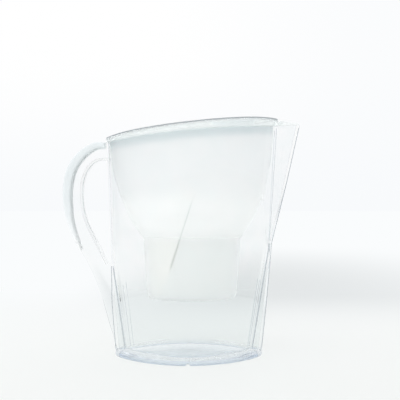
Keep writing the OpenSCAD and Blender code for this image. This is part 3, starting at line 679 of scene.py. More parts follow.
# Round wire along every line of the piece that carries the tree.
def buildWireTree():
    tree, start, given = geometryTree("wireAlong", {
        "Wire Radius": "Float", "Sides": "Int", "Material": "Material"})
    line = start.node("GeometryNodeMeshToCurve", {}, {0: given["Geometry"]})
    section = start.node("GeometryNodeCurvePrimitiveCircle", {},
                         {"Resolution": given["Sides"], "Radius": given["Wire Radius"]})
    wire = start.node("GeometryNodeCurveToMesh", {},
                      {"Curve": line, "Profile Curve": section, "Fill Caps": True})
    wire = start.node("GeometryNodeSetShadeSmooth", {}, {"Geometry": wire})
    return endTree(tree, start, wire, given["Material"])


slotTree = buildSlotTree()
wireTree = buildWireTree()


def slotRow(name, count, pitch, width, length, depth, place, upright=True):
    host = makeObject(name, [], [])
    runTree(host, slotTree, {"Count": count, "Pitch": pitch * 0.001, "Slot Width": width * 0.001,
                             "Slot Length": length * 0.001, "Slot Depth": depth * 0.001})
    points = pointsOf(host)
    if not upright:  # turned about X, so that the slots run through along Y
        points = points[:, [0, 2, 1]] * [1, -1, 1]
    return outwards(setPoints(host, points + inPlace([place])))


# Each line is a list of points, and whether it is closed.
def wires(name, lines, radius, sides, finish):
    verts, edges = [], []
    for line, closed in lines:
        start = len(verts)
        verts += [tuple(p) for p in inPlace(line)]
        edges += [(start + i, start + i + 1) for i in range(len(line) - 1)]
        if closed:
            edges.append((len(verts) - 1, start))
    mesh = bpy.data.meshes.new(name)
    mesh.from_pydata(verts, edges, [])
    return outwards(runTree(addObject(name, mesh), wireTree, {
        "Wire Radius": radius * 0.001, "Sides": sides, "Material": finishes[finish]}))


creaseLines = {  # thin ridges along the jug's creases and keels, tinted grey: painted dark lines, standing in for those that the clear plastic's creases show by refraction
    "radius": 0.4,
    "sides": 10,
    "sunk": 0.2,
    "step": 3,
    "low": 9,
    "endShare": 0.988,  # of half the body's length, for the clearest lines
    "rearShare": 0.876,  # and for the faint ones inside them
    "frontShare": 0.925,
    "rearTop": 106,
    "frontTop": 125,
    "innerTop": 86,
    "rimGap": 2,
    "ridgeInset": 0.6,
}


def surfaceY(level, reach, front):
    # half the body's depth here, on the oval or on a flank
    half, side = bodySize(level)
    rootX, rootY = ovalPoint(half, side, frontAngle(level) if front else jug["keelAngle"])
    if reach < rootX:
        return ovalPoint(half, side, math.degrees(math.acos(reach / half)))[1]
    tip = lookup(level, frontReach if front else rearReach)
    return rootY * (tip - reach) / (tip - rootX)


def creaseLinePair(share, front, low, high):
    pair = []
    for side in (-1, 1):
        line = []
        for level in np.arange(low, high, creaseLines["step"]):
            reach = share * bodySize(level)[0]
            y = side * (surfaceY(level, reach, front) - creaseLines["sunk"])
            line.append(onJug(level, reach if front else -reach, y))
        pair.append((line, False))
    return pair


def ridge(front, high):
    reach, way = (frontReach, 1) if front else (rearReach, -1)
    return [onJug(level, way * (lookup(level, reach) - creaseLines["ridgeInset"]), 0)
            for level in np.arange(creaseLines["low"], high, creaseLines["step"])], False


def boldCreaseLines():
    return (creaseLinePair(creaseLines["endShare"], False, creaseLines["low"], creaseLines["rearTop"])
            + creaseLinePair(creaseLines["endShare"], True, creaseLines["low"], creaseLines["frontTop"])
            + [ridge(True, jug["rimHeight"] - creaseLines["rimGap"]), ridge(False, creaseLines["rearTop"])])


def faintCreaseLines():
    return (creaseLinePair(creaseLines["rearShare"], False, creaseLines["low"], creaseLines["innerTop"])
            + creaseLinePair(creaseLines["frontShare"], True, creaseLines["low"], creaseLines["innerTop"])
            + creaseLinePair(creaseLines["endShare"], True, creaseLines["frontTop"] + 1, jug["rimHeight"] - creaseLines["rimGap"]))


# Grey ridges: painted dark edge lines along the jug's creases.
def makeCreaseLines(name, lines, finish):
    return smooth(wires(name, lines, creaseLines["radius"], creaseLines["sides"], finish), 60)


cartridge = {
    "gap": 3,
    "wall": 1.6,
    "collar": 2.4,
    "collarLift": 0.3,
    "collarGap": 0.4,
    "basketSlots": 9,
    "basketPitch": 7,
    "basketSlotWidth": 3,
    "basketSlotLength": 27.6,
    "ribCount": 32,
    "ribWidth": 1.1,
    "domeHeight": 40,
    "slotCount": 11,
    "slotPitch": 7.04,
    "slotWidth": 2.2,
    "slotLength": 11.2,
    "slotRise": 16.8,  # the slots' middle, over the dome's foot
    "pullX": -5,
    "pullRadius": 10,
    "pullWire": 1.3,
    "pullFit": 0.06,
    "pullLug": 2,
    "sealRadius": 1.1,
    "sealGap": 0.2,
    "screenThickness": 0.8,
    "screenPitch": 2.4,
}
cartTop = tuple(half - funnel["wall"] - cartridge["gap"] for half in pocketHalf)
cartBottom = funnel["pocketBottom"] + funnel["wall"] + cartridge["gap"]
collarHalf = tuple(half - cartridge["collarGap"] for half in pocketHalf)
collarZ = funnel["seatHeight"] + cartridge["collarLift"]
domeLow = collarZ + cartridge["collar"]
domeTop = domeLow + cartridge["domeHeight"]
insideLow, insideHigh = cartBottom + cartridge["wall"] + 2, domeLow + 1
pullZ = domeTop + cartridge["pullWire"] + 0.3
# the dome's height and its size, as shares, through a smooth curve
domeLine = curve([(-0.25, 1.0), (0, 1), (0.25, 0.985), (0.5, 0.92), (0.72, 0.8), (0.88, 0.62), (0.97, 0.42),
                  (1, 0.3), (1.0, 0.1)], 5)


def cartRing(z, inset, count=240):
    return ovalRing(cartTop, inset, z, funnel["pocketSharpness"], count=count)


def collarRing(z, inset):
    return ovalRing(collarHalf, inset, z, funnel["pocketSharpness"])


def insideInset(z):
    return cartridge["wall"] + funnel["pocketDraft"] * (insideHigh - z) / (insideHigh - insideLow)


def domeRing(share, size, inset=0.0):
    half = (cartTop[0] * size, cartTop[1] * size)
    return ovalRing(half, inset, domeLow + share * cartridge["domeHeight"],
                    mix(funnel["pocketSharpness"], 1, clamp(share)))


def makeCartridgeShell():
    draft, wall, low, high = funnel["pocketDraft"], cartridge["wall"], cartBottom, collarZ
    # heights and insets
    outside = [(low, draft + 3), (low + 0.3, draft + 1.6), (low + 1.1, draft + 0.5), (low + 2.5, draft),
               (high, 0)]
    collar = [(high, 0.4), (high + 0.4, 0), (domeLow - 0.4, 0), (domeLow, 0.4)]
    inside = [(domeLow, insideInset(domeLow)), (insideLow, insideInset(insideLow)),
              (low + wall + 0.6, draft + wall + 0.5), (low + wall, draft + 3.4)]
    piece = loft("cartridgeBasket", [cartRing(*p) for p in outside] + [collarRing(*p) for p in collar]
                 + [cartRing(*p) for p in inside])
    cut(piece, slotRow("basketSlots", cartridge["basketSlots"], cartridge["basketPitch"],
                       cartridge["basketSlotWidth"], cartridge["basketSlotLength"], 4 * wall, (0, 0, low)))
    ends = zip(cartRing(low + 6, draft * 0.93 + 0.1, cartridge["ribCount"]),
               cartRing(high - 8, 0.55, cartridge["ribCount"]))
    ribs = [(pair, False) for pair in ends]
    return smooth(join(piece, wires("ribs", ribs, cartridge["ribWidth"] / 2, 8, "cartridgeWhite")))


# A round lug with an arm between two corners, X and Z, on one side of the pitcher's middle.
def makeLug(side, x, z, radius, near, width, low, high):
    start = near if side > 0 else -near - width
    arm = block("lugArm", (low[0], start, low[1]), (high[0], start + width, high[1]))
    return join(bar("lug", x, z, radius, start, start + width), arm)


def pullLug(side):
    x, wire = cartridge["pullX"], cartridge["pullWire"]
    radius = wire + 1.1
    return makeLug(side, x, pullZ, radius, cartridge["pullRadius"] + wire + 0.5, cartridge["pullLug"],
                   (x - radius, domeTop - 3.4), (x + radius, pullZ))


def makeCartridgeCap():
    wall, reach = cartridge["wall"], 2 * cartridge["pullRadius"]
    piece = loft("cartridgeDome", [domeRing(min(p[0], 1), p[1]) for p in domeLine])
    join(piece, pullLug(-1), pullLug(1))
    hollow = [domeRing(0.98 * p[0], p[1], wall) for p in domeLine if 0.03 < p[0] < 0.975]
    slots = slotRow("inletSlots", cartridge["slotCount"], cartridge["slotPitch"], cartridge["slotWidth"],
                    cartridge["slotLength"], 2 * funnel["pocketDepth"],
                    (0, 0, domeLow + cartridge["slotRise"]), upright=False)
    radius = cartridge["pullWire"] + cartridge["pullFit"]
    return smooth(cut(piece, loft("domeHollow", [domeRing(-0.05, 1, wall)] + hollow), slots,
                      bar("pinBore", cartridge["pullX"], pullZ, radius, -reach, reach)))


def makeSeal():
    radius = cartridge["sealRadius"]
    ring = ovalRing(cartTop, -cartridge["sealGap"] - radius, collarZ - 0.1 - radius,
                    funnel["pocketSharpness"], count=160)
    return wires("sealRing", [(ring, True)], radius - 0.02, 16, "sealSilicone")


# A screen of crossed wires in a rim, cut to the inside of the shell.
def makeScreen(name, low):
    thickness, pitch = cartridge["screenThickness"], cartridge["screenPitch"]
    radius, middle = thickness / 4, low + thickness / 2
    a, b = (half - insideInset(low) - 0.15 for half in cartTop)
    lines = [(ovalRing((a, b), radius, middle, funnel["pocketSharpness"], count=96), True)]
    for half, other, turned in ((a, b, False), (b, a, True)):
        count = int(half / pitch)
        z = middle + (radius if turned else -radius) * 0.9
        for across in (k * pitch for k in range(-count, count + 1)):
            reach = other * math.sqrt(max(0, 1 - (across / half) ** 2)) - 2 * radius
            if reach > pitch:
                ends = [(across, -reach, z), (across, reach, z)]
                lines.append(([(y, x, h) for x, y, h in ends] if turned else ends, False))
    return wires(name, lines, radius, 6, "screenMesh")


lid = {
    "overhang": 1.3,
    "edgeHeight": 9.4,
    "slope": 6.3,  # degrees
    "crown": 4.4,
    "edgeCrown": 1.8,
    "skin": 2,
    "skirt": 1.8,
    "skirtGap": 0.3,
    "flapBorder": 8,
    "flapGap": 0.4,
    "ledge": 3,
    "ledgeThickness": 1.6,
    "hingeX": -2,
    "pin": 1,
    "pinFit": 0.06,
    "barrel": 1.9,
    "barrelFit": 0.01,
    "barrelHalf": 14,
    "lug": 4,
    "lugDrop": 0.3,
    "spoutBarrelHalf": 4,
    "spoutGap": 0.4,
    "spoutSetback": 0.7,  # from the lid's edge to the spout flap's barrel
    "spoutTipInset": 1,
    "spoutTipHeight": 1.2,
    "spoutRootHeight": 5.6,
    "spoutHollow": 0.5,
    "indicatorX": 46,
    "indicatorLength": 46,
    "indicatorWidth": 22,
    "indicatorGap": 0.3,
    "shadeBead": 0.8,  # radius of the dark bead round the lid's edge: painted shade for the rounded edge
    "far": (-40, 60),  # cutters reach this far below and above the rim
}
lidRise = math.tan(math.radians(lid["slope"]))
lidHalf = (jug["rimLength"] / 2 + lid["overhang"], jug["rimDepth"] / 2 + lid["overhang"])
far = [jug["rimHeight"] + reach for reach in lid["far"]]


def edgeZ(x):
    return (jug["rimHeight"] + lid["edgeHeight"] - lid["edgeCrown"] + lidRise * x
            + lid["edgeCrown"] * (1 - (x / lidHalf[0]) ** 2))


def lidZ(x, y):
    away = np.minimum(1, (x / lidHalf[0]) ** 2 + (y / lidHalf[1]) ** 2)
    return edgeZ(x) + lid["crown"] * (1 - away)


def lidRing(inset, drop, size=1.0):
    half = [(h - inset) * size for h in lidHalf]
    ring = ovalRing(half, 0, 0, jug["sharpness"])
    ring[:, 2] = lidZ(ring[:, 0], ring[:, 1]) - drop
    return ring


def skirtRing(inset, lift):
    ring = ovalRing(lidHalf, inset, 0, jug["sharpness"])
    ring[:, 2] = rimZ(ring[:, 0]) + lift
    return ring


def lidSolid(name, inset, drop, lift):
    # a bevel under the skirt, how far the top's rounded edge lies in and down, and the crown
    edge = [(0, 2.2), (0.06, 1.7), (0.2, 1.2), (0.5, 0.7), (0.85, 0.4), (1.3, 0.15), (1.8, 0)]
    rings = [skirtRing(inset + (0.25 if lift > 0 else 0), lift), skirtRing(inset, lift + 0.3)]
    rings += [lidRing(inset + a, drop + b) for a, b in edge]
    return loft(name, rings + [lidRing(inset, drop, size) for size in np.linspace(0.95, 0.03, 24)])


def flapOutline(grow):
    # the lid's oval behind the hinge, within the border
    a, b = (half - lid["flapBorder"] + grow for half in lidHalf)
    edge = hingeX + grow
    ring = ovalRing((a, b), 0, 0, jug["sharpness"], count=400)
    kept = [(x, y) for x, y, z in ring if x < edge - 0.01]
    corner = b * (1 - (edge / a) ** 2) ** (jug["sharpness"] / 2)
    return [(edge, corner)] + kept + [(edge, -corner)]


hingeX, hingeHollow = lid["hingeX"], lid["barrel"] + lid["flapGap"]
hingeZ = float(lidZ(hingeX, 0)) - lid["barrel"]
hingeReach = lidHalf[1] - lid["flapBorder"]
flapRootX = lidHalf[0] + lid["spoutSetback"] + lid["barrel"]
flapHingeZ = rimZ(flapRootX) + lid["spoutGap"] + lid["barrel"] + 1
spoutTip = jug["spoutReach"] - lid["spoutTipInset"]
indicatorTilt = math.atan(lidRise - 2 * (lid["edgeCrown"] + lid["crown"]) * lid["indicatorX"]
                          / lidHalf[0] ** 2)


def stadium(length, width, sides=32):
    turns = [math.pi * (i / sides - 0.5) for i in range(sides + 1)]
    half, radius = (length - width) / 2, width / 2
    right = [(half + radius * math.cos(t), radius * math.sin(t)) for t in turns]
    return right + [(-x, -y) for x, y in right]


# A prism that is square to the lid's top, at the indicator's place.
def onLid(name, outline, low, high):
    piece = prism(name, outline, low, high)
    x, y, z = (pointsOf(piece) * 1000 - [frameX, 0, 0]).T
    c, s = math.cos(indicatorTilt), math.sin(indicatorTilt)
    place = [lid["indicatorX"], 0, float(lidZ(lid["indicatorX"], 0))]
    return setPoints(piece, inPlace(np.column_stack([x * c - z * s, y, x * s + z * c]) + place))


def lidShell(name):
    return cut(lidSolid(name, 0, 0, lid["skirtGap"]), lidSolid("under", lid["skirt"], lid["skin"], -5))


# The lugs of one hinge, with arms between two X, and bored for its pin.
def hingeLugs(x, z, radius, half, width, low, high):
    lugs = []
    for side in (-1, 1):
        lug = makeLug(side, x, z, radius, half + lid["flapGap"], width, (low, z - radius), (high, z + radius))
        lugs.append(cut(lug, bar("bore", x, z, lid["pin"] + lid["pinFit"], -hingeReach, hingeReach)))
    return lugs


def makeLid():
    skirt, skin, sunk = lid["skirt"], lid["skin"], lid["skin"] + lid["flapGap"]
    ledge = common(lidSolid("ledge", skirt / 2, skin / 2, funnel["flange"] + 1),
                   prism("ledgeEdge", flapOutline(lid["ledge"]), *far))
    cut(ledge, lidSolid("underLedge", skirt, sunk + lid["ledgeThickness"], -5))
    piece = join(lidShell("lidFrame"), ledge)
    recess = cut(prism("recess", flapOutline(0), *far), lidSolid("recessFloor", skirt, sunk, -5))
    room = (hingeX, -hingeReach, hingeZ), (hingeX + hingeHollow + 0.3, hingeReach, hingeZ + 8)
    window = [lid[size] + 2 * lid["indicatorGap"] for size in ("indicatorLength", "indicatorWidth")]
    cut(piece, recess, prism("mouth", flapOutline(-lid["ledge"]), *far),
        bar("hingeHollow", hingeX, hingeZ, hingeHollow, -hingeReach, hingeReach),
        block("swingRoom", *room), onLid("indicatorHole", stadium(*window), -17, 8))
    join(piece, *hingeLugs(hingeX, hingeZ, lid["barrel"] - lid["lugDrop"], lid["barrelHalf"], lid["lug"],
                           hingeX, hingeX + hingeHollow + 2),
         *hingeLugs(flapRootX, flapHingeZ, lid["barrel"], lid["spoutBarrelHalf"], lid["lug"] / 2,
                    lidHalf[0] - 2 * skirt, flapRootX))
    return smooth(piece)


# A dark bead round the lid's top edge: painted shade, standing in for the shaded rounded edge.
def makeShadeBead():
    shadeBead = lid["shadeBead"]
    return smooth(wires("lidShadeBead", [(lidRing(shadeBead + 0.05, shadeBead + 0.1), True)], shadeBead, 12, "shadeBeadPlastic"), 60)


def addBarrel(piece, x, z, half, lug):
    # between two lugs, on a pin that reaches into both
    return join(piece, bar("barrel", x, z, lid["barrel"] - lid["barrelFit"], -half, half),
                bar("pin", x, z, lid["pin"], -half - lug, half + lug))


def makeFillFlap():
    half, notch = lid["barrelHalf"], lid["lug"] + 2 * lid["flapGap"]
    piece = common(lidShell("fillFlap"), prism("flapEdge", flapOutline(-lid["flapGap"]), *far))
    for start in (-half - notch, half):
        cut(piece, block("notch", (hingeX - hingeHollow, start, hingeZ - notch),
                         (hingeX + 3 * hingeHollow, start + notch, hingeZ + 2 * notch)))
    return smooth(addBarrel(piece, hingeX, hingeZ, half, lid["lug"]))


def makeSpoutFlap():
    half, lug = lid["spoutBarrelHalf"], lid["lug"] / 2
    outer, shoulder = half + lid["flapGap"] + lug, flapRootX + lid["barrel"] + 0.5
    low = [(x, rimZ(x) + lid["spoutGap"]) for x in (flapRootX, spoutTip)]
    tipTop, rootTop = low[1][1] + lid["spoutTipHeight"], low[0][1] + lid["spoutRootHeight"]
    # the top is a little hollow between the tip and the root
    high = [(mix(spoutTip, flapRootX, s),
             mix(tipTop, rootTop, s) - lid["spoutHollow"] * math.sin(math.pi * s))
            for s in (i / 9 for i in range(10))]
    piece = prism("spoutFlap", low + high, -outer, outer, upright=False)
    side = [(flapRootX, half), (shoulder, half), (shoulder, outer), (spoutTip, 1)]
    common(piece, prism("plan", [(x, -y) for x, y in side] + side[::-1], *far))
    return smooth(addBarrel(piece, flapRootX, flapHingeZ, half, lug))


def paint(red, green, blue):
    # a colour as a screen shows it, 0 to 255
    def linear(c):
        c = c / 255
        return c / 12.92 if c <= 0.04045 else ((c + 0.055) / 1.055) ** 2.4
    return linear(red), linear(green), linear(blue), 1


def newMaterial(name):
    made = bpy.data.materials.new(name)
    made.use_nodes = True
    made.node_tree.nodes.clear()
    return made, Wire(made.node_tree).node("ShaderNodeTexCoord", {}, {}, "Object")


def scratchMarks(coords, stretch, turn, scale):
    # thin lines, where a noise that is drawn out one way passes its middle value, here and there
    drawn = coords.node("ShaderNodeMapping", {}, {"Vector": coords, "Rotation": turn, "Scale": stretch})
    middle = drawn.noise(scale, 1.0) - 0.5
    return (1 - middle.unsigned().within(0.0, 0.01)) * coords.noise(18, 2.0).within(0.52, 0.62)


# The shader, and a see-through one in its place for light on its way to what lies behind
# and for rays that have turned too often within the walls.
def endMaterial(made, shader, through=None, deepest=3.5):
    if through is not None:
        shadow, diffuse, turns, mirrored = shader.paths("Is Shadow Ray", "Is Diffuse Ray", "Ray Depth",
                                                        "Glossy Depth")
        passing = shadow.largest(diffuse, turns.within(deepest - 0.1, deepest + 0.1),
                                 mirrored.within(1.4, 1.6))
        unseen = shader.node("ShaderNodeBsdfTransparent", {}, {"Color": through})
        shader = shader.node("ShaderNodeMixShader", {}, {0: passing, 1: shader, 2: unseen})
    out = made.node_tree.nodes.new("ShaderNodeOutputMaterial")
    made.node_tree.links.new(shader.socket, out.inputs["Surface"])
    return made


plainLook = {  # what a look has when it doesn't say otherwise
    "mottleScale": 60,
    "tints": [],  # between two heights on this slope, the colour turns to another
    "grainScale": 900,
    "grain": 1.0,
    "wave": 0.5,
    "bumpDepth": 0.0001,
    "scratchRough": 0.08,
    "ior": 1.49,
    "clear": 0.0,
    "depth": 0.0,
    "through": None,
    "deepest": 3.5,
}
slant = ((0.0168, 0.1903), (-0.0112, 0.1027))  # the slanted edge of a leaning cartridge, painted on the upright one: X and Z of its ends


# A fine painted line along the slanted edge, and painted shade beyond it where the look has one, for a
# leaning cartridge's edge and shaded side.
def paintSlantEdge(coords, colour, look):
    (topX, topZ), (lowX, lowZ) = slant
    height = coords.axis("Z")
    beside = coords.axis("X") - lowX - (height - lowZ) * ((topX - lowX) / (topZ - lowZ))
    # painted shade beyond the slant
    if "shadeBeyondSlant" in look:
        colour = beside.within(-0.0006, 0.0006).blend(colour, look["shadeBeyondSlant"])
    away = beside.unsigned().within(0.0005, 0.0011).largest(height.within(lowZ + 0.002, lowZ - 0.004),
                                                            height.within(topZ - 0.03, topZ))
    return away.blend(look["slantLineTone"], colour)


# Moulded plastic of every kind on this pitcher.
def plastic(name, given):
    look = {**plainLook, "shade": given["colour"], **given}
    made, coords = newMaterial(name)
    height, mottle = coords.axis("Z"), coords.noise(look["mottleScale"], 3.0)
    colour = mottle.within(0.35, 0.65).blend(look["colour"], look["shade"])
    for low, high, slope, tint in look["tints"]:
        raised = height - (coords.axis("X") - frameX * 0.001) * slope
        colour = raised.within(low, high).blend(colour, tint)
    if "slantLineTone" in look:
        colour = paintSlantEdge(coords, colour, look)
    marks = (scratchMarks(coords, (1, 1, 9), (0.4, 1.3, 0.2), 40)
             + scratchMarks(coords, (11, 1, 1), (0.1, 0.9, 0.5), 34))
    lowRough, highRough = look["rough"]
    rough = lowRough + mottle * (highRough - lowRough) + marks * look["scratchRough"]
    if "footRough" in look:
        rough = rough + height.within(0.014, 0.009) * look["footRough"]
    if "flangeRough" in look:
        onFlange = coords.axis("Y").unsigned().within(0.0024, 0.0028) * coords.axis("X").within(-0.086, -0.09)
        rough = rough + onFlange * look["flangeRough"]
    grain = coords.noise(look["grainScale"], 2.0) * look["grain"] + mottle * look["wave"]
    shared = {"Base Color": colour, "Roughness": rough, "IOR": look["ior"],
              "Normal": grain.bumps(look["bump"], look["bumpDepth"])}
    shader = coords.node("ShaderNodeBsdfPrincipled", {}, {
        **shared, "Transmission Weight": look["clear"], "Subsurface Weight": look["depth"],
        "Subsurface Radius": (0.002, 0.002, 0.002), "Subsurface Scale": 1.0})
    if "cloud" in look:
        rising, falling, share = look["cloud"]
        cloudy = coords.node("ShaderNodeBsdfPrincipled", {}, shared)
        share = height.within(*rising) * height.within(*falling) * share
        shader = coords.node("ShaderNodeMixShader", {}, {0: share, 1: shader, 2: cloudy})
    return endMaterial(made, shader, look["through"], look["deepest"])


looks = {
    "clearPlastic": {
        "colour": paint(254, 254, 254), "shade": paint(252, 253, 253),
        # darker low down: painted shade, for the shade behind the jug that shows through it
        "tints": [(0.11, 0.05, 0, paint(248, 250, 250)),
                  (0.013, 0.003, 0, paint(228, 235, 243))],  # the thick foot looks faintly blue
        "rough": (0.0, 0.04),
        "footRough": 0.2,  # the foot and the finger hole's flange are finely textured
        "flangeRough": 0.3, "bump": 0.05, "grain": 0.05, "wave": 1.0, "ior": 1.5, "clear": 1.0,
        "through": paint(253, 254, 254),
    },
    "gripPlastic": {
        "colour": paint(229, 234, 236), "shade": paint(232, 237, 239),
        "tints": [(0.185, 0.1, 0, paint(250, 251, 252))], "rough": (0.55, 0.65), "bump": 0.2,
        "depth": 0.3,
    },
    "frostedPlastic": {
        "colour": paint(254, 254, 254), "shade": paint(253, 253, 253), "mottleScale": 25,
        "tints": [(0.236, 0.2465, rise, paint(226, 233, 235))],  # darker towards the rim: painted shade under the lid
        # the cartridge's painted slant line, as it shows through the wall
        "slantLineTone": paint(236, 239, 238), "rough": (0.48, 0.55), "bump": 0.1, "grain": 0.1,
        "clear": 0.9,
        "cloud": ((0.128, 0.138), (0.19, 0.163), 0.6),  # the wall is cloudiest at the throat
        "through": paint(253, 253, 253),
    },
    "lidPlastic": {
        "colour": paint(251, 253, 253), "shade": paint(250, 252, 252), "rough": (0.1, 0.16),
        "bump": 0.08, "grain": 0.1, "clear": 0.75, "through": paint(250, 252, 252), "deepest": 7.5,
    },
    # grey ridges on the jug: painted dark edge lines, bold and faint
    "creaseLineShade": {
        "colour": paint(196, 201, 206), "shade": paint(202, 207, 212), "rough": (0.05, 0.12),
        "bump": 0.05, "clear": 0.8, "through": paint(236, 239, 242),
    },
    "faintPlastic": {
        "colour": paint(224, 228, 232), "shade": paint(228, 232, 235), "rough": (0.1, 0.2),
        "bump": 0.05, "clear": 0.8, "through": paint(247, 249, 250),
    },
    # the lid's edge bead: painted shade
    "shadeBeadPlastic": {
        "colour": paint(164, 170, 174), "shade": paint(172, 178, 182), "rough": (0.25, 0.35),
        "bump": 0.1,
    },
    "cartridgeWhite": {
        # painted shade beyond the slant, and the painted slant line
        "colour": paint(253, 253, 249), "shade": paint(251, 251, 247), "shadeBeyondSlant": paint(245, 248, 247),
        "slantLineTone": paint(196, 198, 190), "rough": (0.3, 0.42), "bump": 0.3, "depth": 0.1,
    },
    "sealSilicone": {
        "colour": paint(234, 238, 238), "shade": paint(228, 233, 234), "rough": (0.45, 0.6),
        "bump": 0.3,
    },
    "screenMesh": {
        "colour": paint(240, 242, 240), "shade": paint(234, 237, 235), "rough": (0.4, 0.5), "bump": 0.3,
    },
    "indicatorPlastic": {
        "colour": paint(242, 246, 248), "shade": paint(238, 243, 246), "rough": (0.25, 0.36),
        "bump": 0.35,
    },
    "windowPlastic": {
        "colour": paint(244, 248, 250), "rough": (0.0, 0.06), "bump": 0.05, "clear": 1.0,
        "through": paint(246, 249, 250),
    },
    "buttonPlastic": {
        "colour": paint(86, 128, 178), "shade": paint(80, 121, 172), "rough": (0.3, 0.42), "bump": 0.35,
        "depth": 0.1,
    },
}
metals = {
    "springSteel": {"colour": paint(200, 200, 196), "shade": paint(182, 182, 178), "rough": 0.25},
    "cellSteel": {"colour": paint(204, 204, 200), "shade": paint(190, 190, 186), "rough": 0.22},
    "contactBrass": {"colour": paint(206, 180, 112), "shade": paint(190, 164, 98), "rough": 0.28},
}
display = {
    "glass": (paint(176, 188, 172), paint(168, 182, 166)),
    "bar": paint(66, 76, 72),
    "bars": 4,
    "first": 31.5,  # where the bars start, in front of the rim's middle
    "pitch": 4.6,
    "width": 3.4,
    "half": 4.2,
    "soft": 0.1,
}


def principled(colour, rough, normal, metallic=0.0):
    return normal.node("ShaderNodeBsdfPrincipled", {}, {
        "Base Color": colour, "Roughness": rough, "Normal": normal, "Metallic": metallic})


def metal(name, look):
    made, coords = newMaterial(name)
    stains, lines = coords.noise(240, 4.0), scratchMarks(coords, (1, 30, 1), (0, 0, 0.3), 90)
    colour = stains.within(0.4, 0.7).blend(look["colour"], look["shade"])
    return endMaterial(made, principled(colour, look["rough"] + stains * 0.2 + lines * 0.08,
                                        (lines + stains).bumps(0.2, 0.00005), 1.0))


def carbonAndResin(name):
    made, coords = newMaterial(name)
    cells, which = (coords.node("ShaderNodeTexVoronoi", {}, {"Vector": coords, "Scale": 1100}, out)
                    for out in ("Distance", "Color"))
    dark = which.axis("X").within(0.45, 0.5)
    return endMaterial(made, principled(dark.blend(paint(198, 186, 150), paint(58, 56, 54)), 0.5 + dark * 0.3,
                                        (1 - cells * 900).bumps(0.8, 0.0004)))


def boardFinish(name):
    made, coords = newMaterial(name)
    tracks = coords.node("ShaderNodeTexBrick", {}, {
        "Vector": coords, "Color1": (0, 0, 0, 1), "Color2": (0, 0, 0, 1), "Mortar": (1, 1, 1, 1),
        "Scale": 160.0, "Mortar Size": 0.02})
    glass, lines = coords.noise(1500, 2.0), tracks.axis("X")
    board = glass.blend(paint(44, 104, 74), paint(52, 116, 82))
    return endMaterial(made, principled(lines.blend(board, paint(84, 150, 108)), 0.35 + glass * 0.15,
                                        (lines + glass * 0.3).bumps(0.4, 0.00005)))


# Bars of a level display, on grey-green glass.
def displayFinish(name):
    made, coords = newMaterial(name)
    first, pitch, width, half, soft = (display[k] * 0.001
                                       for k in ("first", "pitch", "width", "half", "soft"))
    along, beyond = coords.axis("X"), coords.axis("Y").unsigned().within(half, half + soft)
    bars = 0.0
    for i in range(display["bars"]):
        x = 0.001 * frameX + first + i * pitch
        inside = along.within(x, x + soft) * (1 - along.within(x + width, x + width + soft))
        bars = inside * (1 - beyond) + bars
    speckle = coords.noise(2500, 2.0)
    return endMaterial(made, principled(bars.blend(speckle.blend(*display["glass"]), display["bar"]),
                                        0.16 + speckle * 0.1, speckle.bumps(0.1, 0.00003)))


finishes = {name: plastic(name, look) for name, look in looks.items()}
finishes.update({name: metal(name, look) for name, look in metals.items()})
for name, make in (("filterMedia", carbonAndResin), ("circuitBoard", boardFinish),
                   ("levelDisplay", displayFinish)):
    finishes[name] = make(name)
print("finishes made")


def dress(piece, finish, body=None, slot=None, *nodes):
    piece.data.materials.clear()
    piece.data.materials.append(finishes[finish])
    piece.data.polygons.foreach_set("material_index", [0] * len(piece.data.polygons))
    if body:
        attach(piece, body)
        if nodes:
            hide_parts(*nodes)
    return piece


dress(makeJug(), "clearPlastic", "jug", "clear_plastic", "jug_body")
dress(makeGrip(), "gripPlastic", "jug", "grip", "handle_grip")
dress(makeCreaseLines("boldCreaseLines", boldCreaseLines(), "creaseLineShade"), "creaseLineShade", "jug", "clear_plastic")
dress(makeCreaseLines("faintCreaseLines", faintCreaseLines(), "faintPlastic"), "faintPlastic", "jug", "clear_plastic")
print("jug and handle made")
dress(makeFunnel(), "frostedPlastic", "funnel", "frosted_plastic", "funnel")
dress(makeCartridgeShell(), "cartridgeWhite", "cartridge", "cartridge_white", "cartridge_shell")
dress(makeCartridgeCap(), "cartridgeWhite", "cartridge", "cartridge_white", "cartridge_cap")
dress(makeSeal(), "sealSilicone", "cartridge", "seal", "cartridge_seal")
dress(makeScreen("inletScreen", domeLow - 2.0), "screenMesh", "cartridge", "mesh", "inlet_screen")
dress(makeScreen("outletScreen", insideLow + 0.2), "screenMesh", "cartridge", "mesh", "outlet_screen")
print("funnel and cartridge made")
dress(makeLid(), "lidPlastic", "lid", "lid_plastic", "lid_frame")
dress(makeShadeBead(), "shadeBeadPlastic", "lid", "lid_plastic")
dress(makeFillFlap(), "lidPlastic", "fill_flap", "lid_plastic", "fill_flap")
dress(makeSpoutFlap(), "lidPlastic", "spout_flap", "lid_plastic", "spout_flap")
print("lid and flaps made")
for node, finish in {
    "filter_media": "filterMedia", "pull_ring": "cartridgeWhite", "indicator_housing": "indicatorPlastic",
    "indicator_window": "windowPlastic", "indicator_display": "levelDisplay",
    "indicator_button": "buttonPlastic", "button_dome": "springSteel", "circuit_board": "circuitBoard",
    "coin_cell": "cellSteel", "cell_contact": "contactBrass", "indicator_cover": "indicatorPlastic",
}.items():
    dress(cad[node], finish)

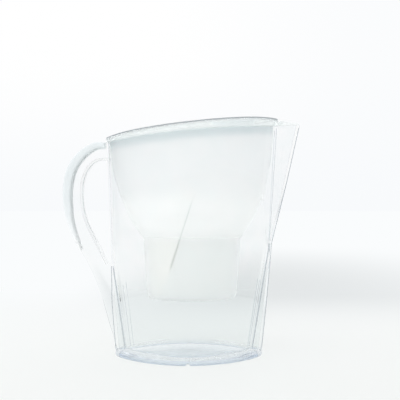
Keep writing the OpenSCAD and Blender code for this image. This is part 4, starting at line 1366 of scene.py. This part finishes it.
studio = {
    "floorReach": 9.0,  # metres
    "floorColour": paint(244, 246, 245),
    "floorSpots": paint(246, 248, 247),
    "worldLight": 1.0,
    "backdropTone": paint(248, 250, 252),
    "sideTone": paint(170, 177, 186),  # what the plastic's edges show of the room beside and above
    "floorTone": paint(240, 242, 241),
    "farTone": paint(250, 252, 253),
    "shadeTone": paint(228, 231, 232),  # a soft shade on the backdrop, low behind the spout
    "lampPlace": (-0.7, -0.5, 1.1),
    "lampAim": (0, 0, 0.12),
    "lampSize": (0.9, 0.7),
    "lampPower": 2.4,
    "cameraPlace": (0.0202, -0.68, 0.1757),
    "lens": 54.5,
}
seenBy = ("Is Camera Ray", "Is Glossy Ray", "Is Transmission Ray")


def makeFloor():
    reach = studio["floorReach"]
    corners = [(x * reach, y * reach, 0) for x, y in ((-1, -1), (1, -1), (1, 1), (-1, 1))]
    floor = makeObject("floor", corners, [(0, 1, 2, 3)])
    made, coords = newMaterial("floorFinish")
    back, aside = coords.axis("Y"), coords.axis("X")
    spots = coords.noise(3.0, 3.0).blend(studio["floorColour"], studio["floorSpots"])
    lit = coords.node("ShaderNodeBsdfDiffuse", {}, {"Color": spots})
    tone = back.within(-0.25, 0.6).blend(studio["floorTone"], studio["farTone"])
    shade = aside.within(-0.25, 0.1) * (1 - aside.within(0.15, 0.9))
    shade = shade * back.within(0.1, 0.45) * (1 - back.within(0.55, 1.7))
    glow = coords.node("ShaderNodeEmission", {}, {"Color": shade.blend(tone, studio["shadeTone"])})
    camera, glossy, transmitted = coords.paths(*seenBy)
    share = camera.largest(glossy, transmitted) * (0.6 + back.within(0.0, 0.5) * 0.4)
    shader = coords.node("ShaderNodeMixShader", {}, {0: share, 1: lit, 2: glow})
    floor.data.materials.append(endMaterial(made, shader))


def makeWorld():
    world = bpy.data.worlds.new("studio")
    bpy.context.scene.world = world
    world.use_nodes = True
    world.node_tree.nodes.clear()
    start = Wire(world.node_tree)
    camera, glossy, transmitted = start.paths(*seenBy)
    light = start.node("ShaderNodeBackground", {}, {"Color": (1, 1, 1, 1), "Strength": studio["worldLight"]})
    towards = start.node("ShaderNodeTexCoord", {}, {}, "Generated")
    aside, upwards = towards.axis("X"), towards.axis("Z")
    backdrop = (upwards.within(-0.05, 0.25) * (1 - aside.within(-0.1, 0.3) * 0.6)).blend(
        studio["backdropTone"], (1, 1, 1, 1))
    flags = aside.unsigned().within(0.5, 0.85) * upwards.within(-0.05, 0.3)
    flags = flags.largest(upwards.within(0.5, 0.85))
    tone = (flags * (1 - camera)).blend(backdrop, studio["sideTone"])
    show = start.node("ShaderNodeBackground", {}, {"Color": tone, "Strength": 1.0})
    seen = camera.largest(glossy, transmitted)
    shader = start.node("ShaderNodeMixShader", {}, {0: seen, 1: light, 2: show})
    out = world.node_tree.nodes.new("ShaderNodeOutputWorld")
    world.node_tree.links.new(shader.socket, out.inputs["Surface"])


def makeLamp():
    lamp = bpy.data.lights.new("key", "AREA")
    lamp.shape = "RECTANGLE"
    lamp.size, lamp.size_y = studio["lampSize"]
    lamp.energy = studio["lampPower"]
    holder = addObject("key", lamp)
    holder.location = studio["lampPlace"]
    aim = Vector(studio["lampAim"]) - Vector(studio["lampPlace"])
    holder.rotation_euler = aim.to_track_quat("-Z", "Y").to_euler()


def makeCamera():
    lens = bpy.data.cameras.new("camera")
    lens.lens = studio["lens"]
    lens.sensor_width = 36
    lens.clip_start = 0.02
    camera = addObject("camera", lens)
    camera.location = studio["cameraPlace"]
    camera.rotation_euler = (math.pi / 2, 0, 0)
    bpy.context.scene.camera = camera


makeFloor()
makeWorld()
makeLamp()
makeCamera()
bpy.context.scene.view_settings.view_transform = "Standard"
print("studio made")
